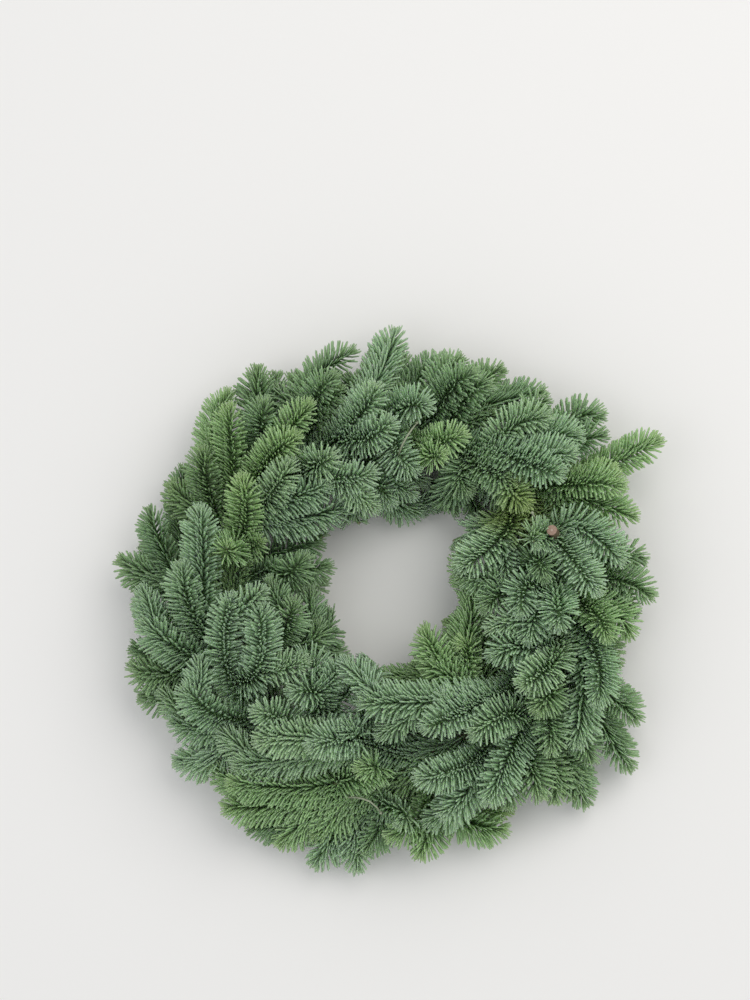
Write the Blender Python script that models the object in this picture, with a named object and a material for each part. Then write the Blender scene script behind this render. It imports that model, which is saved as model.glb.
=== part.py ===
# A plain wreath of noble fir, lying on its back with its crown up.
# The ring's axis is +Z, the surface it lies on is z = 0, and 12 o'clock on the ring is +Y.
# A raised wire frame carries a bundle of cut stems, and reel wire binds the stems to it.
# Every spray is one cut branch tip: a woody stem in the bundle and one to four leafy shoots.

import math
import random

import bmesh
import bpy
import numpy as np

MM = 0.001

# The wire frame: two rails that lie on the surface and one raised rail under the stems.
INNER_RAIL_RADIUS = 104 * MM
OUTER_RAIL_RADIUS = 160 * MM
RAISED_RAIL_RADIUS = 132 * MM
RAIL_WIRE_RADIUS = 1.6 * MM
RAISED_RAIL_HEIGHT = 11.4 * MM
RAIL_STEPS = 36
RAIL_SIDES = 6
BRACE_COUNT = 10
BRACE_WIRE_RADIUS = 1.3 * MM
BRACE_SIDES = 4
BRACE_CROWN_HEIGHT = 9.4 * MM
BRACE_SHOULDER_OFFSET = 17 * MM
BRACE_SHOULDER_HEIGHT = 8.2 * MM

# The reel wire, one spiral round the bundle and the raised rail.
BINDING_TURNS = 20
BINDING_OPEN_TURNS = 0.25
BINDING_STEPS_PER_TURN = 12
BINDING_SIDES = 3
BINDING_WIRE_RADIUS = 0.6 * MM
BINDING_RADIUS = 14.0 * MM
BINDING_GAP = 0.32 * MM
FIRST_BINDING_CLOCK = math.radians(9)

# The bundle: the stems lie side by side just inside the reel wire, each in a slot of its own.
# A slot faces the middle of a straight step of the reel wire.
SLOT_COUNT = BINDING_STEPS_PER_TURN
STEM_GAP = 0.32 * MM
STEM_RADIUS = 2.4 * MM
STEM_LENGTH = 44 * MM
STEM_STEPS = 3
FORK_LEAD = 40 * MM

# Shoots: twigs with needles from a little above the fork to the bud.
TWIG_RADIUS = 2.0 * MM
TIP_RADIUS = 1.2 * MM
TWIG_SIDES = 3
SIDE_ROOT_SHARE = 0.34
FORK_PULL = 0.5
SIDE_PULL = 0.6
ARC_STEPS = 14
ROOT_SHARE = 0.36
STEM_BARE_SHARE = 0.42
SIDE_BARE_SHARE = 0.35
STATION_PITCH = 17 * MM
LEAST_SPAN = 6 * MM
HEADING_REACH = 2 * MM
BUD_LENGTH = 3.5 * MM
TWIG_CLEARANCE = 0.28 * MM
CLEARANCE = 0.4 * MM

# Needles: flat-sided spikes in rings of three, each ring turned against the last.
NEEDLE_PITCH = 18.5 * MM
NEEDLE_LENGTH = 20 * MM
NEEDLE_WIDTH = 2.0 * MM
NEEDLE_ROOT_RADIUS = 1.1 * MM
NEEDLE_TIP_RADIUS = 0.1 * MM
NEEDLE_OVERHANG = 12 * MM
NEEDLE_FORWARD_BASE = 0.55
NEEDLE_FORWARD_TIP = 1.3
NEEDLE_LIFT = 0.3
NEEDLE_BEND = 0.4
LOWEST_NEEDLE = 0.8 * MM

# The shape that the shoots follow: a dome in section, over the middle of the bundle.
RISE_LOW = 0.12
RISE_HIGH = 0.47
LOW_HEIGHT = 40 * MM
HIGH_HEIGHT = 90 * MM
LOWEST_TWIG = 12 * MM

# How a free way is found for each twig and needle: other ways are tried until one is clear.
# A twig's bend and the shift of its tip grow every so many tries, by a share, to the most.
SEED = 38
STEM_TRIES = 1500
SIDE_TRIES = 500
TRIES_PER_SLOT = 5
STEM_BENDS = (5, 0.6, 1.8)
STEM_SHIFTS = (40, 0.5, 1.0)
SIDE_BENDS = (5, 1.0, 1.0)
SIDE_SHIFTS = (20, 0.5, 1.0)
NEEDLE_TRIES = 5
NEEDLE_SHARES = (1.0, 0.86, 0.7, 0.55)
BEND_REACH = (9 * MM, 9 * MM, 6 * MM)
TIP_SHIFT = 6 * MM
FORK_SHIFT = (-22 * MM, 18 * MM)
SIDE_ROOT_SHIFT = (-18 * MM, 24 * MM)
SEARCH_REACH = 4 * MM
FRAME_OWNER = (-1, 0)
BINDING_OWNER = (-1, 1)

GLAUCOUS = (0.105, 0.223, 0.141)
MID_GREEN = (0.082, 0.190, 0.085)
FRESH_GREEN = (0.150, 0.300, 0.075)
FRAME_GREEN = (0.020, 0.055, 0.030)
REEL_STEEL = (0.240, 0.250, 0.240)

# Roughness and metallic of each finish.
COATED_WIRE = (0.45, 0.3)
ANNEALED_WIRE = (0.35, 0.9)
FOLIAGE = (0.6, 0.0)

# Each spray: its tint, then its shoots. A shoot is the place of its tip and of the point where
# it comes out of the foliage, in millimetres from the ring's centre, as tip x, tip y, tip z,
# out x, out y. The first shoot of a spray is the one that its stem runs into.
SPRAYS = (
    ("glaucous", ((0, 171, 96, -26, 129), (10, 224, 48, -4, 182), (14, 142, 98, -16, 118))),
    ("mid", ((-32, 180, 84, -68, 158), (-18, 202, 60, -76, 175))),
    ("glaucous", ((10, 68, 62, -12, 94), (36, 70, 24, 0, 74), (-12, 61, 26, -40, 66))),
    ("fresh", ((56, 114, 92, 32, 106), (72, 130, 88, 44, 122))),
    ("mid", ((80, 180, 76, 44, 170), (68, 196, 50, 42, 184))),
    ("mid", ((94, 174, 66, 64, 162), (101, 188, 40, 75, 180), (134, 170, 34, 94, 159))),
    ("glaucous", ((158, 108, 92, 90, 126), (138, 142, 82, 90, 139), (163, 124, 74, 120, 134))),
    ("mid", ((185, 126, 50, 143, 134), (182, 145, 38, 143, 154), (138, 159, 60, 104, 152))),
    ("fresh", ((227, 129, 48, 162, 106), (192, 102, 60, 154, 92))),
    ("glaucous", ((147, 90, 99, 84, 118), (120, 66, 84, 92, 88))),
    ("fresh", ((198, 86, 68, 154, 92), (207, 62, 50, 170, 74))),
    ("glaucous", ((173, -5, 92, 133, 54), (193, 21, 78, 147, 73), (126, 31, 100, 112, 50))),
    ("mid", ((219, -4, 50, 184, 18), (212, 24, 38, 192, 42))),
    ("glaucous", ((54, 16, 86, 118, 62), (44, 41, 34, 66, 54))),
    ("glaucous", ((138, -35, 102, 138, 6), (110, -24, 96, 105, 18), (114, -44, 90, 116, -12))),
    ("fresh", ((179, -42, 76, 170, -9), (196, -39, 52, 188, -8))),
    ("glaucous", ((102, -76, 100, 148, -48), (80, -54, 88, 108, -32))),
    ("fresh", ((28, -19, 70, 37, -47), (63, -7, 52, 84, 18), (52, -45, 70, 72, -33))),
    ("fresh", ((26, -50, 62, 51, -60), (41, -22, 34, 64, -16), (14, -50, 40, 38, -60))),
    ("glaucous", ((167, -94, 84, 172, -41), (151, -126, 64, 156, -92))),
    ("mid", ((203, -107, 36, 184, -66), (200, -142, 25, 176, -112))),
    ("mid", ((166, -138, 42, 158, -110), (164, -170, 22, 150, -150))),
    ("glaucous", ((26, -108, 102, 86, -81), (45, -71, 88, 49, -92), (-24, -86, 94, 24, -81))),
    ("glaucous", ((80, -169, 84, 105, -103), (64, -114, 92, 108, -82))),
    ("mid", ((120, -166, 58, 124, -130), (131, -170, 42, 140, -132), (145, -167, 26, 154, -134))),
    ("glaucous", ((19, -145, 92, 80, -138), (38, -177, 70, 77, -152), (24, -182, 52, 62, -168))),
    ("fresh", ((22, -212, 36, 40, -182), (102, -184, 34, 62, -184), (-6, -193, 46, 28, -180))),
    ("glaucous", ((-27, -225, 24, -21, -181), (4, -184, 66, 28, -168), (-64, -219, 22, -39, -185))),
    ("fresh", ((-137, -166, 48, -25, -172), (-93, -202, 28, -74, -184), (-68, -191, 30, -42, -182))),
    ("fresh", ((-131, -146, 70, -34, -155), (-28, -138, 82, 20, -130))),
    ("glaucous", ((-64, -122, 94, -14, -102), (-106, -116, 92, -74, -110), (-127, -132, 70, -93, -137))),
    ("glaucous", ((-79, -79, 92, -34, -66), (-26, -42, 58, 8, -60), (-74, -42, 84, -48, -56))),
    ("glaucous", ((-162, -65, 84, -133, -109), (-179, -95, 56, -144, -110), (-178, -128, 38, -128, -136))),
    ("mid", ((-214, -51, 48, -182, -61), (-207, -76, 36, -171, -82), (-214, -33, 26, -196, -45))),
    ("glaucous", ((-198, -13, 70, -162, -58), (-209, 2, 46, -180, -14))),
    ("glaucous", ((-116, 6, 102, -138, -62), (-96, -2, 104, -90, -78))),
    ("mid", ((-72, 3, 90, -69, -30), (-45, -2, 42, -42, -36), (-56, -12, 66, -52, -44))),
    ("mid", ((-222, 39, 40, -192, 6), (-194, 80, 52, -180, 30))),
    ("glaucous", ((-162, 33, 84, -158, -23), (-146, 76, 92, -144, 14))),
    ("fresh", ((-114, 101, 90, -106, 52), (-118, 47, 98, -126, 28))),
    ("mid", ((-37, 28, 56, -68, 18), (-57, 38, 80, -77, 11))),
    ("glaucous", ((-69, 113, 94, -90, 74), (-37, 90, 84, -70, 78), (-24, 74, 64, -85, 56))),
    ("mid", ((-42, 56, 36, -74, 40), (-46, 22, 24, -66, 2))),
    ("mid", ((-152, 126, 64, -136, 86), (-177, 102, 40, -170, 80))),
    ("fresh", ((-123, 160, 80, -130, 94), (-123, 176, 42, -156, 123))),
    ("mid", ((-96, 164, 78, -99, 130), (-104, 195, 46, -108, 150), (-89, 192, 36, -96, 156))),
    ("fresh", ((-62, 130, 94, -103, 106), (-52, 158, 90, -82, 130))),
    ("glaucous", ((-32, 114, 96, -60, 98), (0, 102, 88, -32, 86))),
    ("glaucous", ((44, 146, 90, 12, 158), (32, 94, 84, 4, 112))),
    ("mid", ((112, 86, 84, 68, 106), (76, 80, 66, 52, 94), (62, 65, 38, 42, 80))),
    ("mid", ((76, -18, 84, 92, 8), (128, 4, 90, 122, 40))),
    ("mid", ((128, -130, 78, 140, -88), (116, -98, 92, 140, -64))),
    ("glaucous", ((-108, -90, 94, -68, -98), (-40, -100, 84, 0, -118))),
    ("mid", ((-28, -205, 30, 14, -186), (-120, -186, 24, -84, -176))),
    ("mid", ((186, -60, 26, 176, -20), (156, -112, 24, 166, -74))),
    ("mid", ((-186, 60, 24, -178, 18), (-166, 118, 24, -172, 76))),
    ("mid", ((60, 196, 26, 16, 190), (-60, 184, 26, -104, 166))),
)
TINTS = {"glaucous": GLAUCOUS, "mid": MID_GREEN, "fresh": FRESH_GREEN}


def clear_scene():
    """Empty the scene, so that only the wreath is left in it."""
    for thing in list(bpy.data.objects):
        bpy.data.objects.remove(thing, do_unlink=True)


def make_material(name, colour, finish):
    material = bpy.data.materials.new(name)
    material.use_nodes = True
    shader = material.node_tree.nodes["Principled BSDF"]
    shader.inputs["Base Color"].default_value = (*colour, 1.0)
    shader.inputs["Roughness"].default_value = finish[0]
    shader.inputs["Metallic"].default_value = finish[1]
    return material


def face_out(bm):
    """Turn every face of a closed solid outwards."""
    bmesh.ops.recalc_face_normals(bm, faces=bm.faces[:])
    if bm.calc_volume(signed=True) < 0:
        bmesh.ops.reverse_faces(bm, faces=bm.faces[:])


def object_from(bm, name, material):
    mesh = bpy.data.meshes.new(name)
    bm.to_mesh(mesh)
    bm.free()
    mesh.materials.append(material)
    made = bpy.data.objects.new(name, mesh)
    bpy.context.scene.collection.objects.link(made)
    return made


def keep_body(mesh):
    """Keep the one body of a fused mesh: hollows sealed inside it and loose scraps go."""
    bm = bmesh.new()
    bm.from_mesh(mesh)
    islands = []
    waiting = set(bm.verts)
    while waiting:
        reached = [waiting.pop()]
        for vert in reached:
            linked = {edge.other_vert(vert) for edge in vert.link_edges} & waiting
            waiting -= linked
            reached.extend(linked)
        islands.append(reached)
    islands.sort(key=len)
    scraps = [vert for island in islands[:-1] for vert in island]
    bmesh.ops.delete(bm, geom=scraps, context="VERTS")
    bm.to_mesh(mesh)
    bm.free()


def union_into(base, others):
    """Fuse the other solids into base, apply it and remove them."""
    if not others:
        return base
    group = bpy.data.collections.new(base.name + "_pieces")
    bpy.context.scene.collection.children.link(group)
    for other in others:
        bpy.context.scene.collection.objects.unlink(other)
        group.objects.link(other)
    union = base.modifiers.new("union", "BOOLEAN")
    union.operation = "UNION"
    union.operand_type = "COLLECTION"
    union.collection = group
    union.solver = "MANIFOLD"
    graph = bpy.context.evaluated_depsgraph_get()
    fused = bpy.data.meshes.new_from_object(base.evaluated_get(graph))
    base.modifiers.clear()
    keep_body(fused)
    base.data = fused
    for other in others:
        bpy.data.objects.remove(other, do_unlink=True)
    bpy.data.collections.remove(group)
    return base


def ring_point(clock, radius, height):
    """A point of the ring at a clock angle, which runs clockwise from +Y."""
    return np.array([radius * math.sin(clock), radius * math.cos(clock), height])


class Route:
    """A curve read by its length."""

    def __init__(self, points):
        self.points = np.array(points)
        self.steps = np.linalg.norm(np.diff(self.points, axis=0), axis=1)
        self.lengths = np.concatenate([[0], np.cumsum(self.steps)])
        self.length = self.lengths[-1]

    def at(self, distance):
        return np.array([np.interp(distance, self.lengths, axis) for axis in self.points.T])

    def heading(self, distance):
        ahead = self.at(min(distance + HEADING_REACH, self.length))
        behind = self.at(max(distance - HEADING_REACH, 0))
        return (ahead - behind) / np.linalg.norm(ahead - behind)


class Thicket:
    """Everything placed so far, as tapered rods, to measure what is free of it."""

    def __init__(self):
        self.rods = np.zeros((0, 8))
        self.owners = np.zeros((0, 2), int)

    def add(self, starts, ends, start_radii, end_radii, owner):
        rods = np.column_stack([starts, ends, start_radii, end_radii])
        self.rods = np.vstack([self.rods, rods])
        self.owners = np.vstack([self.owners, np.tile(owner, (len(rods), 1))])

    def add_route(self, points, radii, owner):
        self.add(points[:-1], points[1:], radii[:-1], radii[1:], owner)

    def near(self, points, reach, skip):
        """The rods whose boxes come near the points, leaving out the owners in skip."""
        low = points.min(axis=0) - reach
        high = points.max(axis=0) + reach
        bottom = np.minimum(self.rods[:, :3], self.rods[:, 3:6])
        top = np.maximum(self.rods[:, :3], self.rods[:, 3:6])
        inside = (bottom < high).all(axis=1) & (top > low).all(axis=1)
        for owner in skip:
            inside &= (self.owners != owner).any(axis=1)
        return self.rods[inside]


def least_gap(start, end, start_radius, end_radius, rods):
    """The least space between one tapered rod and the others."""
    if len(rods) == 0:
        return 1.0
    along = end - start
    others = rods[:, 3:6] - rods[:, :3]
    offset = start - rods[:, :3]
    own = along @ along
    theirs = np.einsum("ij,ij->i", others, others) + 1e-15
    mixed = others @ along
    own_offset = offset @ along
    their_offset = np.einsum("ij,ij->i", others, offset)
    spread = own * theirs - mixed**2
    s = np.where(spread > 1e-18, (mixed * their_offset - own_offset * theirs) / (spread + 1e-30), 0)
    s = np.clip(s, 0, 1)
    t = np.clip((mixed * s + their_offset) / theirs, 0, 1)
    s = np.clip((mixed * t - own_offset) / own, 0, 1)
    apart = offset + s[:, None] * along - t[:, None] * others
    radii = start_radius + (end_radius - start_radius) * s
    radii = radii + rods[:, 6] + (rods[:, 7] - rods[:, 6]) * t
    return float((np.linalg.norm(apart, axis=1) - radii).min())


def route_gap(points, radii, rods):
    gaps = [
        least_gap(start, end, first, last, rods)
        for start, end, first, last in zip(points, points[1:], radii, radii[1:])
    ]
    return min(gaps)


def section(centre, heading, up, radius, sides, turn):
    """Corner points of a section of a rod, square to its heading."""
    side = np.cross(heading, up)
    side /= np.linalg.norm(side)
    above = np.cross(side, heading)
    angles = turn + np.arange(sides) * 2 * math.pi / sides
    return [centre + radius * (math.cos(a) * above + math.sin(a) * side) for a in angles]


def lofted_tube(sections, closed=False):
    """A rod through its sections. It gives the mesh and, span by span, the faces of its sides."""
    bm = bmesh.new()
    rings = [[bm.verts.new(corner) for corner in corners] for corners in sections]
    following = rings[1:] + rings[:1] if closed else rings[1:]
    spans = []
    for ring, after in zip(rings, following):
        corners = zip(ring, ring[1:] + ring[:1], after[1:] + after[:1], after)
        spans.append([bm.faces.new(four) for four in corners])
    if not closed:
        bm.faces.new(rings[0])
        bm.faces.new(rings[-1])
    face_out(bm)
    return bm, spans


def rail(name, radius, height, material):
    """A wire ring of the frame, with a flat side down."""
    sections = []
    for step in range(RAIL_STEPS):
        clock = 2 * math.pi * step / RAIL_STEPS
        centre = ring_point(clock, radius, height)
        heading = np.array([math.cos(clock), -math.sin(clock), 0.0])
        up = np.array([0.0, 0.0, 1.0])
        turn = math.pi / RAIL_SIDES
        sections.append(section(centre, heading, up, RAIL_WIRE_RADIUS, RAIL_SIDES, turn))
    bm, _ = lofted_tube(sections, closed=True)
    return object_from(bm, name, material)


def brace(number, material):
    """A cross wire, arched from rail to rail under the raised one."""
    clock = 2 * math.pi * number / BRACE_COUNT
    middle = RAISED_RAIL_RADIUS
    low = flat_height()
    points = [
        ring_point(clock, INNER_RAIL_RADIUS, low),
        ring_point(clock, middle - BRACE_SHOULDER_OFFSET, BRACE_SHOULDER_HEIGHT),
        ring_point(clock, middle, BRACE_CROWN_HEIGHT),
        ring_point(clock, middle + BRACE_SHOULDER_OFFSET, BRACE_SHOULDER_HEIGHT),
        ring_point(clock, OUTER_RAIL_RADIUS, low),
    ]
    route = Route(points)
    up = np.array([math.cos(clock), -math.sin(clock), 0.0])
    sections = [
        section(point, route.heading(length), up, BRACE_WIRE_RADIUS, BRACE_SIDES, 0.0)
        for length, point in zip(route.lengths, points)
    ]
    bm, _ = lofted_tube(sections)
    return object_from(bm, "brace", material), points


def flat_height():
    """Height of a floor rail's middle, with its flat side on the surface."""
    return RAIL_WIRE_RADIUS * math.cos(math.pi / RAIL_SIDES)


def make_frame(thicket):
    material = make_material("frame_wire", FRAME_GREEN, COATED_WIRE)
    rails = (
        (INNER_RAIL_RADIUS, flat_height()),
        (OUTER_RAIL_RADIUS, flat_height()),
        (RAISED_RAIL_RADIUS, RAISED_RAIL_HEIGHT),
    )
    pieces = []
    for radius, height in rails:
        pieces.append(rail("wire_frame", radius, height, material))
        clocks = np.linspace(0, 2 * math.pi, RAIL_STEPS + 1)
        points = np.array([ring_point(clock, radius, height) for clock in clocks])
        thicket.add_route(points, np.full(len(points), RAIL_WIRE_RADIUS), FRAME_OWNER)
    for number in range(BRACE_COUNT):
        piece, points = brace(number, material)
        pieces.append(piece)
        radii = np.full(len(points), BRACE_WIRE_RADIUS)
        thicket.add_route(np.array(points), radii, FRAME_OWNER)
    frame = union_into(pieces[0], pieces[1:])
    frame.name = "wire_frame"
    return frame


def inner_binding_radius():
    """From the bundle's middle to the middle of each straight step of the reel wire."""
    return BINDING_RADIUS * math.cos(math.pi / BINDING_STEPS_PER_TURN)


def binding_face():
    """From the middle of the reel wire to its flat side, which faces the stems."""
    return BINDING_WIRE_RADIUS * math.cos(math.pi / BINDING_SIDES)


def bundle_height():
    """Height of the bundle's middle, with the reel wire close under the raised rail."""
    wire_height = RAISED_RAIL_HEIGHT - flat_height() - BINDING_GAP - binding_face()
    return wire_height + inner_binding_radius()


def away_from_bundle(point):
    """The direction out of the bundle through a point, which is up for the needles there."""
    middle = ring_point(math.atan2(point[0], point[1]), RAISED_RAIL_RADIUS, bundle_height())
    return (point - middle) / np.linalg.norm(point - middle)


def binding_point(turn):
    """A point of the spiral. The middle of a straight step passes under the raised rail."""
    clock = FIRST_BINDING_CLOCK + 2 * math.pi * turn / BINDING_TURNS
    angle = 2 * math.pi * turn + math.pi / BINDING_STEPS_PER_TURN
    radius = RAISED_RAIL_RADIUS - BINDING_RADIUS * math.sin(angle)
    return ring_point(clock, radius, bundle_height() - BINDING_RADIUS * math.cos(angle))


def make_binding(thicket):
    turns = BINDING_TURNS - BINDING_OPEN_TURNS
    count = round(turns * BINDING_STEPS_PER_TURN)
    points = np.array([binding_point(turns * step / count) for step in range(count + 1)])
    thicket.add_route(points, np.full(len(points), binding_face()), BINDING_OWNER)
    route = Route(points)
    sections = []
    for length, point in zip(route.lengths, points):
        out = away_from_bundle(point)
        heading = route.heading(length)
        sections.append(section(point, heading, out, BINDING_WIRE_RADIUS, BINDING_SIDES, 0.0))
    bm, _ = lofted_tube(sections)
    material = make_material("reel_wire", REEL_STEEL, ANNEALED_WIRE)
    return object_from(bm, "binding_wire", material)


def bundle_slots():
    """Places of the stems in the bundle's section: along the radius and up."""
    reach = inner_binding_radius() - binding_face() - STEM_GAP - STEM_RADIUS
    slots = []
    for number in range(1, SLOT_COUNT):
        angle = 2 * math.pi * number / SLOT_COUNT
        slots.append((-reach * math.sin(angle), bundle_height() - reach * math.cos(angle)))
    return slots


def rise_of(height):
    """How steeply a shoot climbs to its tip: low shoots lie flat, high ones reach up."""
    share = (height - LOW_HEIGHT) / (HIGH_HEIGHT - LOW_HEIGHT)
    return RISE_LOW + (RISE_HIGH - RISE_LOW) * min(max(share, 0.0), 1.0)


def shoot_ends(shoot):
    """The end of a shoot's twig and the point where it comes out of the foliage."""
    tip_x, tip_y, tip_z, out_x, out_y = (value * MM for value in shoot)
    run = math.hypot(tip_x - out_x, tip_y - out_y)
    out_z = max(tip_z - rise_of(tip_z) * run, LOWEST_TWIG)
    out = np.array([out_x, out_y, out_z])
    tip = np.array([tip_x, tip_y, tip_z])
    heading = (tip - out) / np.linalg.norm(tip - out)
    return tip - heading * NEEDLE_OVERHANG, out


def arc_between(start, start_pull, end_pull, end):
    """A smooth bend from start to end, drawn towards the two points between them."""
    share = np.linspace(0, 1, ARC_STEPS)[:, None]
    rest = 1 - share
    bend = rest**3 * start + 3 * rest**2 * share * start_pull
    return bend + 3 * rest * share**2 * end_pull + share**3 * end


def strayed(effort, limits):
    """The share of the full bend or shift that a try may take."""
    tries, growth, most = limits
    return min(effort // tries * growth, most)


def random_bend(draw, share):
    """A sideways shift of the middle of a twig, up to a share of its full reach."""
    return np.array([draw.uniform(-reach, reach) for reach in BEND_REACH]) * share


def random_shift(draw, share):
    return np.array([draw.uniform(-TIP_SHIFT, TIP_SHIFT) for _ in range(3)]) * share


def stem_candidates(shoots, draw):
    """Routes that a spray's stem may take, the straightest first."""
    tip, out = shoot_ends(shoots[0])
    clock = math.atan2(out[0], out[1])
    outwards = math.hypot(out[0], out[1]) - RAISED_RAIL_RADIUS
    leaning = math.atan2(out[2] - bundle_height(), outwards)
    lean = np.array([math.cos(leaning), math.sin(leaning)])
    slots = bundle_slots()
    slots.sort(key=lambda slot: -(slot[0] * lean[0] + (slot[1] - bundle_height()) * lean[1]))
    for effort in range(STEM_TRIES):
        offset, height = slots[(effort // TRIES_PER_SLOT) % len(slots)]
        lead = FORK_LEAD + draw.uniform(*FORK_SHIFT)
        fork_clock = clock - lead / RAISED_RAIL_RADIUS
        radius = RAISED_RAIL_RADIUS + offset
        foot_clock = fork_clock - STEM_LENGTH / radius
        clocks = np.linspace(foot_clock, fork_clock, STEM_STEPS, endpoint=False)
        lying = np.array([ring_point(place, radius, height) for place in clocks])
        fork = ring_point(fork_clock, radius, height)
        along = np.array([math.cos(fork_clock), -math.sin(fork_clock), 0.0])
        pull = fork + along * np.linalg.norm(out - fork) * FORK_PULL
        bent = out + random_bend(draw, strayed(effort, STEM_BENDS))
        end = tip + random_shift(draw, strayed(effort, STEM_SHIFTS))
        yield np.vstack([lying, arc_between(fork, pull, bent, end)])


def side_candidates(stem, shoot, draw):
    """Routes from the stem to a side shoot's tip."""
    tip, out = shoot_ends(shoot)
    trunk = Route(stem)
    middle = STEM_LENGTH + (trunk.length - STEM_LENGTH) * SIDE_ROOT_SHARE
    for effort in range(SIDE_TRIES):
        start = middle + draw.uniform(*SIDE_ROOT_SHIFT) * min(effort, 1)
        root = trunk.at(start)
        aside = (out - root) / np.linalg.norm(out - root)
        reach = np.linalg.norm(out - root) * FORK_PULL * SIDE_PULL
        pull = root + (trunk.heading(start) + aside) * reach
        bent = out + random_bend(draw, strayed(effort, SIDE_BENDS))
        end = tip + random_shift(draw, strayed(effort, SIDE_SHIFTS))
        yield arc_between(root, pull, bent, end)


def stations(length, place):
    """A twig's sections: how far along, if needles stand on the span after it, and its turn."""
    lying = 0.0 if place else STEM_LENGTH
    bare_share = SIDE_BARE_SHARE if place else STEM_BARE_SHARE
    bare = lying + (length - lying) * bare_share
    plain = [STEM_LENGTH * step / STEM_STEPS for step in range(STEM_STEPS) if lying]
    plain += [*np.arange(lying, bare - LEAST_SPAN, STATION_PITCH)]
    places = [(distance, False, 0.0) for distance in plain]
    last = length - BUD_LENGTH - NEEDLE_WIDTH
    count = max(round((last - bare) / NEEDLE_PITCH), 1)
    turn = 0.0
    for step in range(count + 1):
        start = bare + (last - bare) * step / count
        turn += math.pi / TWIG_SIDES
        places += [(start, True, turn), (start + NEEDLE_WIDTH, False, turn)]
    return places + [(length, False, turn)]


def knots_of(points, place):
    """The middles and radii of a twig's sections."""
    route = Route(points)
    places = stations(route.length, place)
    start_radius = TWIG_RADIUS if place else STEM_RADIUS
    knots = np.array([route.at(distance) for distance, _, _ in places])
    shares = np.array([distance for distance, _, _ in places]) / route.length
    return knots, start_radius + (TIP_RADIUS - start_radius) * shares


def clearest(candidates, place, thicket, own):
    """The first candidate that is clear of everything, or else the clearest one."""
    best_gap, best = -1.0, None
    for points in candidates:
        points[:, 2] = np.maximum(points[:, 2], LOWEST_TWIG)
        knots, radii = knots_of(points, place)
        gap = route_gap(knots, radii, thicket.near(knots, SEARCH_REACH, own))
        if own:
            rods = thicket.near(knots, SEARCH_REACH, own[:1])
            first = round(len(knots) * ROOT_SHARE)
            gap = min(gap, route_gap(knots[first:], radii[first:], rods))
        if gap > best_gap:
            best_gap, best = gap, points
        if gap > TWIG_CLEARANCE:
            break
    return best


def split_twisted(bm, faces):
    """Cut each side of a turned span along the diagonal that keeps the twig convex."""
    for face in faces:
        first, second, third, fourth = face.verts
        bmesh.utils.face_split(face, second, fourth)


def needle_ways(normal, heading, up, share, draw):
    """Directions and lengths for one needle, the natural one first."""
    forward = NEEDLE_FORWARD_BASE + (NEEDLE_FORWARD_TIP - NEEDLE_FORWARD_BASE) * share
    natural = normal + forward * heading + NEEDLE_LIFT * up
    yield natural / np.linalg.norm(natural), NEEDLE_LENGTH
    for length in NEEDLE_SHARES:
        for _ in range(NEEDLE_TRIES):
            bend = [draw.uniform(-NEEDLE_BEND, NEEDLE_BEND) for _ in range(3)]
            way = natural + np.array(bend)
            yield way / np.linalg.norm(way), NEEDLE_LENGTH * length


def grow_needle(bm, face, heading, up, share, thicket, owner, draw):
    """Raise one needle from a face of the twig, in the first direction that is free."""
    face.normal_update()
    base = np.array(face.calc_center_median())
    for way, length in needle_ways(np.array(face.normal), heading, up, share, draw):
        tip = base + way * length
        if tip[2] < LOWEST_NEEDLE:
            continue
        start = base + way * NEEDLE_WIDTH / 2
        rods = thicket.near(np.array([start, tip]), CLEARANCE + NEEDLE_WIDTH, [owner])
        if least_gap(start, tip, NEEDLE_ROOT_RADIUS, NEEDLE_TIP_RADIUS, rods) > CLEARANCE:
            raised = bmesh.ops.poke(bm, faces=[face])
            raised["verts"][0].co = tip
            return start, tip
    return None


def grow_shoot(name, points, thicket, owner, draw, material):
    """One twig with its needles, which start where its bare length ends."""
    route = Route(points)
    places = stations(route.length, owner[1])
    sections = []
    for (distance, _, turn), centre, radius in zip(places, *knots_of(points, owner[1])):
        heading = route.heading(distance)
        up = away_from_bundle(centre)
        sections.append(section(centre, heading, up, radius, TWIG_SIDES, turn))
    bm, spans = lofted_tube(sections)
    for (_, leafy, _), faces in zip(places, spans):
        if not leafy:
            split_twisted(bm, faces)
    first_leafy = min(distance for distance, leafy, _ in places if leafy)
    for (distance, leafy, _), faces in zip(places, spans):
        if not leafy:
            continue
        share = (distance - first_leafy) / (route.length - first_leafy)
        heading = route.heading(distance)
        up = away_from_bundle(points[-1])
        grown = [
            grow_needle(bm, face, heading, up, share, thicket, owner, draw) for face in faces
        ]
        grown = [needle for needle in grown if needle]
        if grown:
            starts, tips = (np.array(ends) for ends in zip(*grown))
            wide = np.full(len(grown), NEEDLE_ROOT_RADIUS)
            thin = np.full(len(grown), NEEDLE_TIP_RADIUS)
            thicket.add(starts, tips, wide, thin, owner)
    return object_from(bm, name, material)


def route_sprays(thicket, draw):
    """Find a clear way for every twig, the steepest stems first."""

    def height_of(number):
        tint, shoots = SPRAYS[number]
        return shoot_ends(shoots[0])[1][2]

    routes = {}
    for number in sorted(range(len(SPRAYS)), key=height_of, reverse=True):
        tint, shoots = SPRAYS[number]
        stem = clearest(stem_candidates(shoots, draw), 0, thicket, [])
        thicket.add_route(*knots_of(stem, 0), (number, 0))
        routes[number] = [stem]
        for place, shoot in enumerate(shoots[1:], 1):
            own = [(number, earlier) for earlier in range(place)]
            side = clearest(side_candidates(stem, shoot, draw), place, thicket, own)
            thicket.add_route(*knots_of(side, place), (number, place))
            routes[number].append(side)
    return routes


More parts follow.
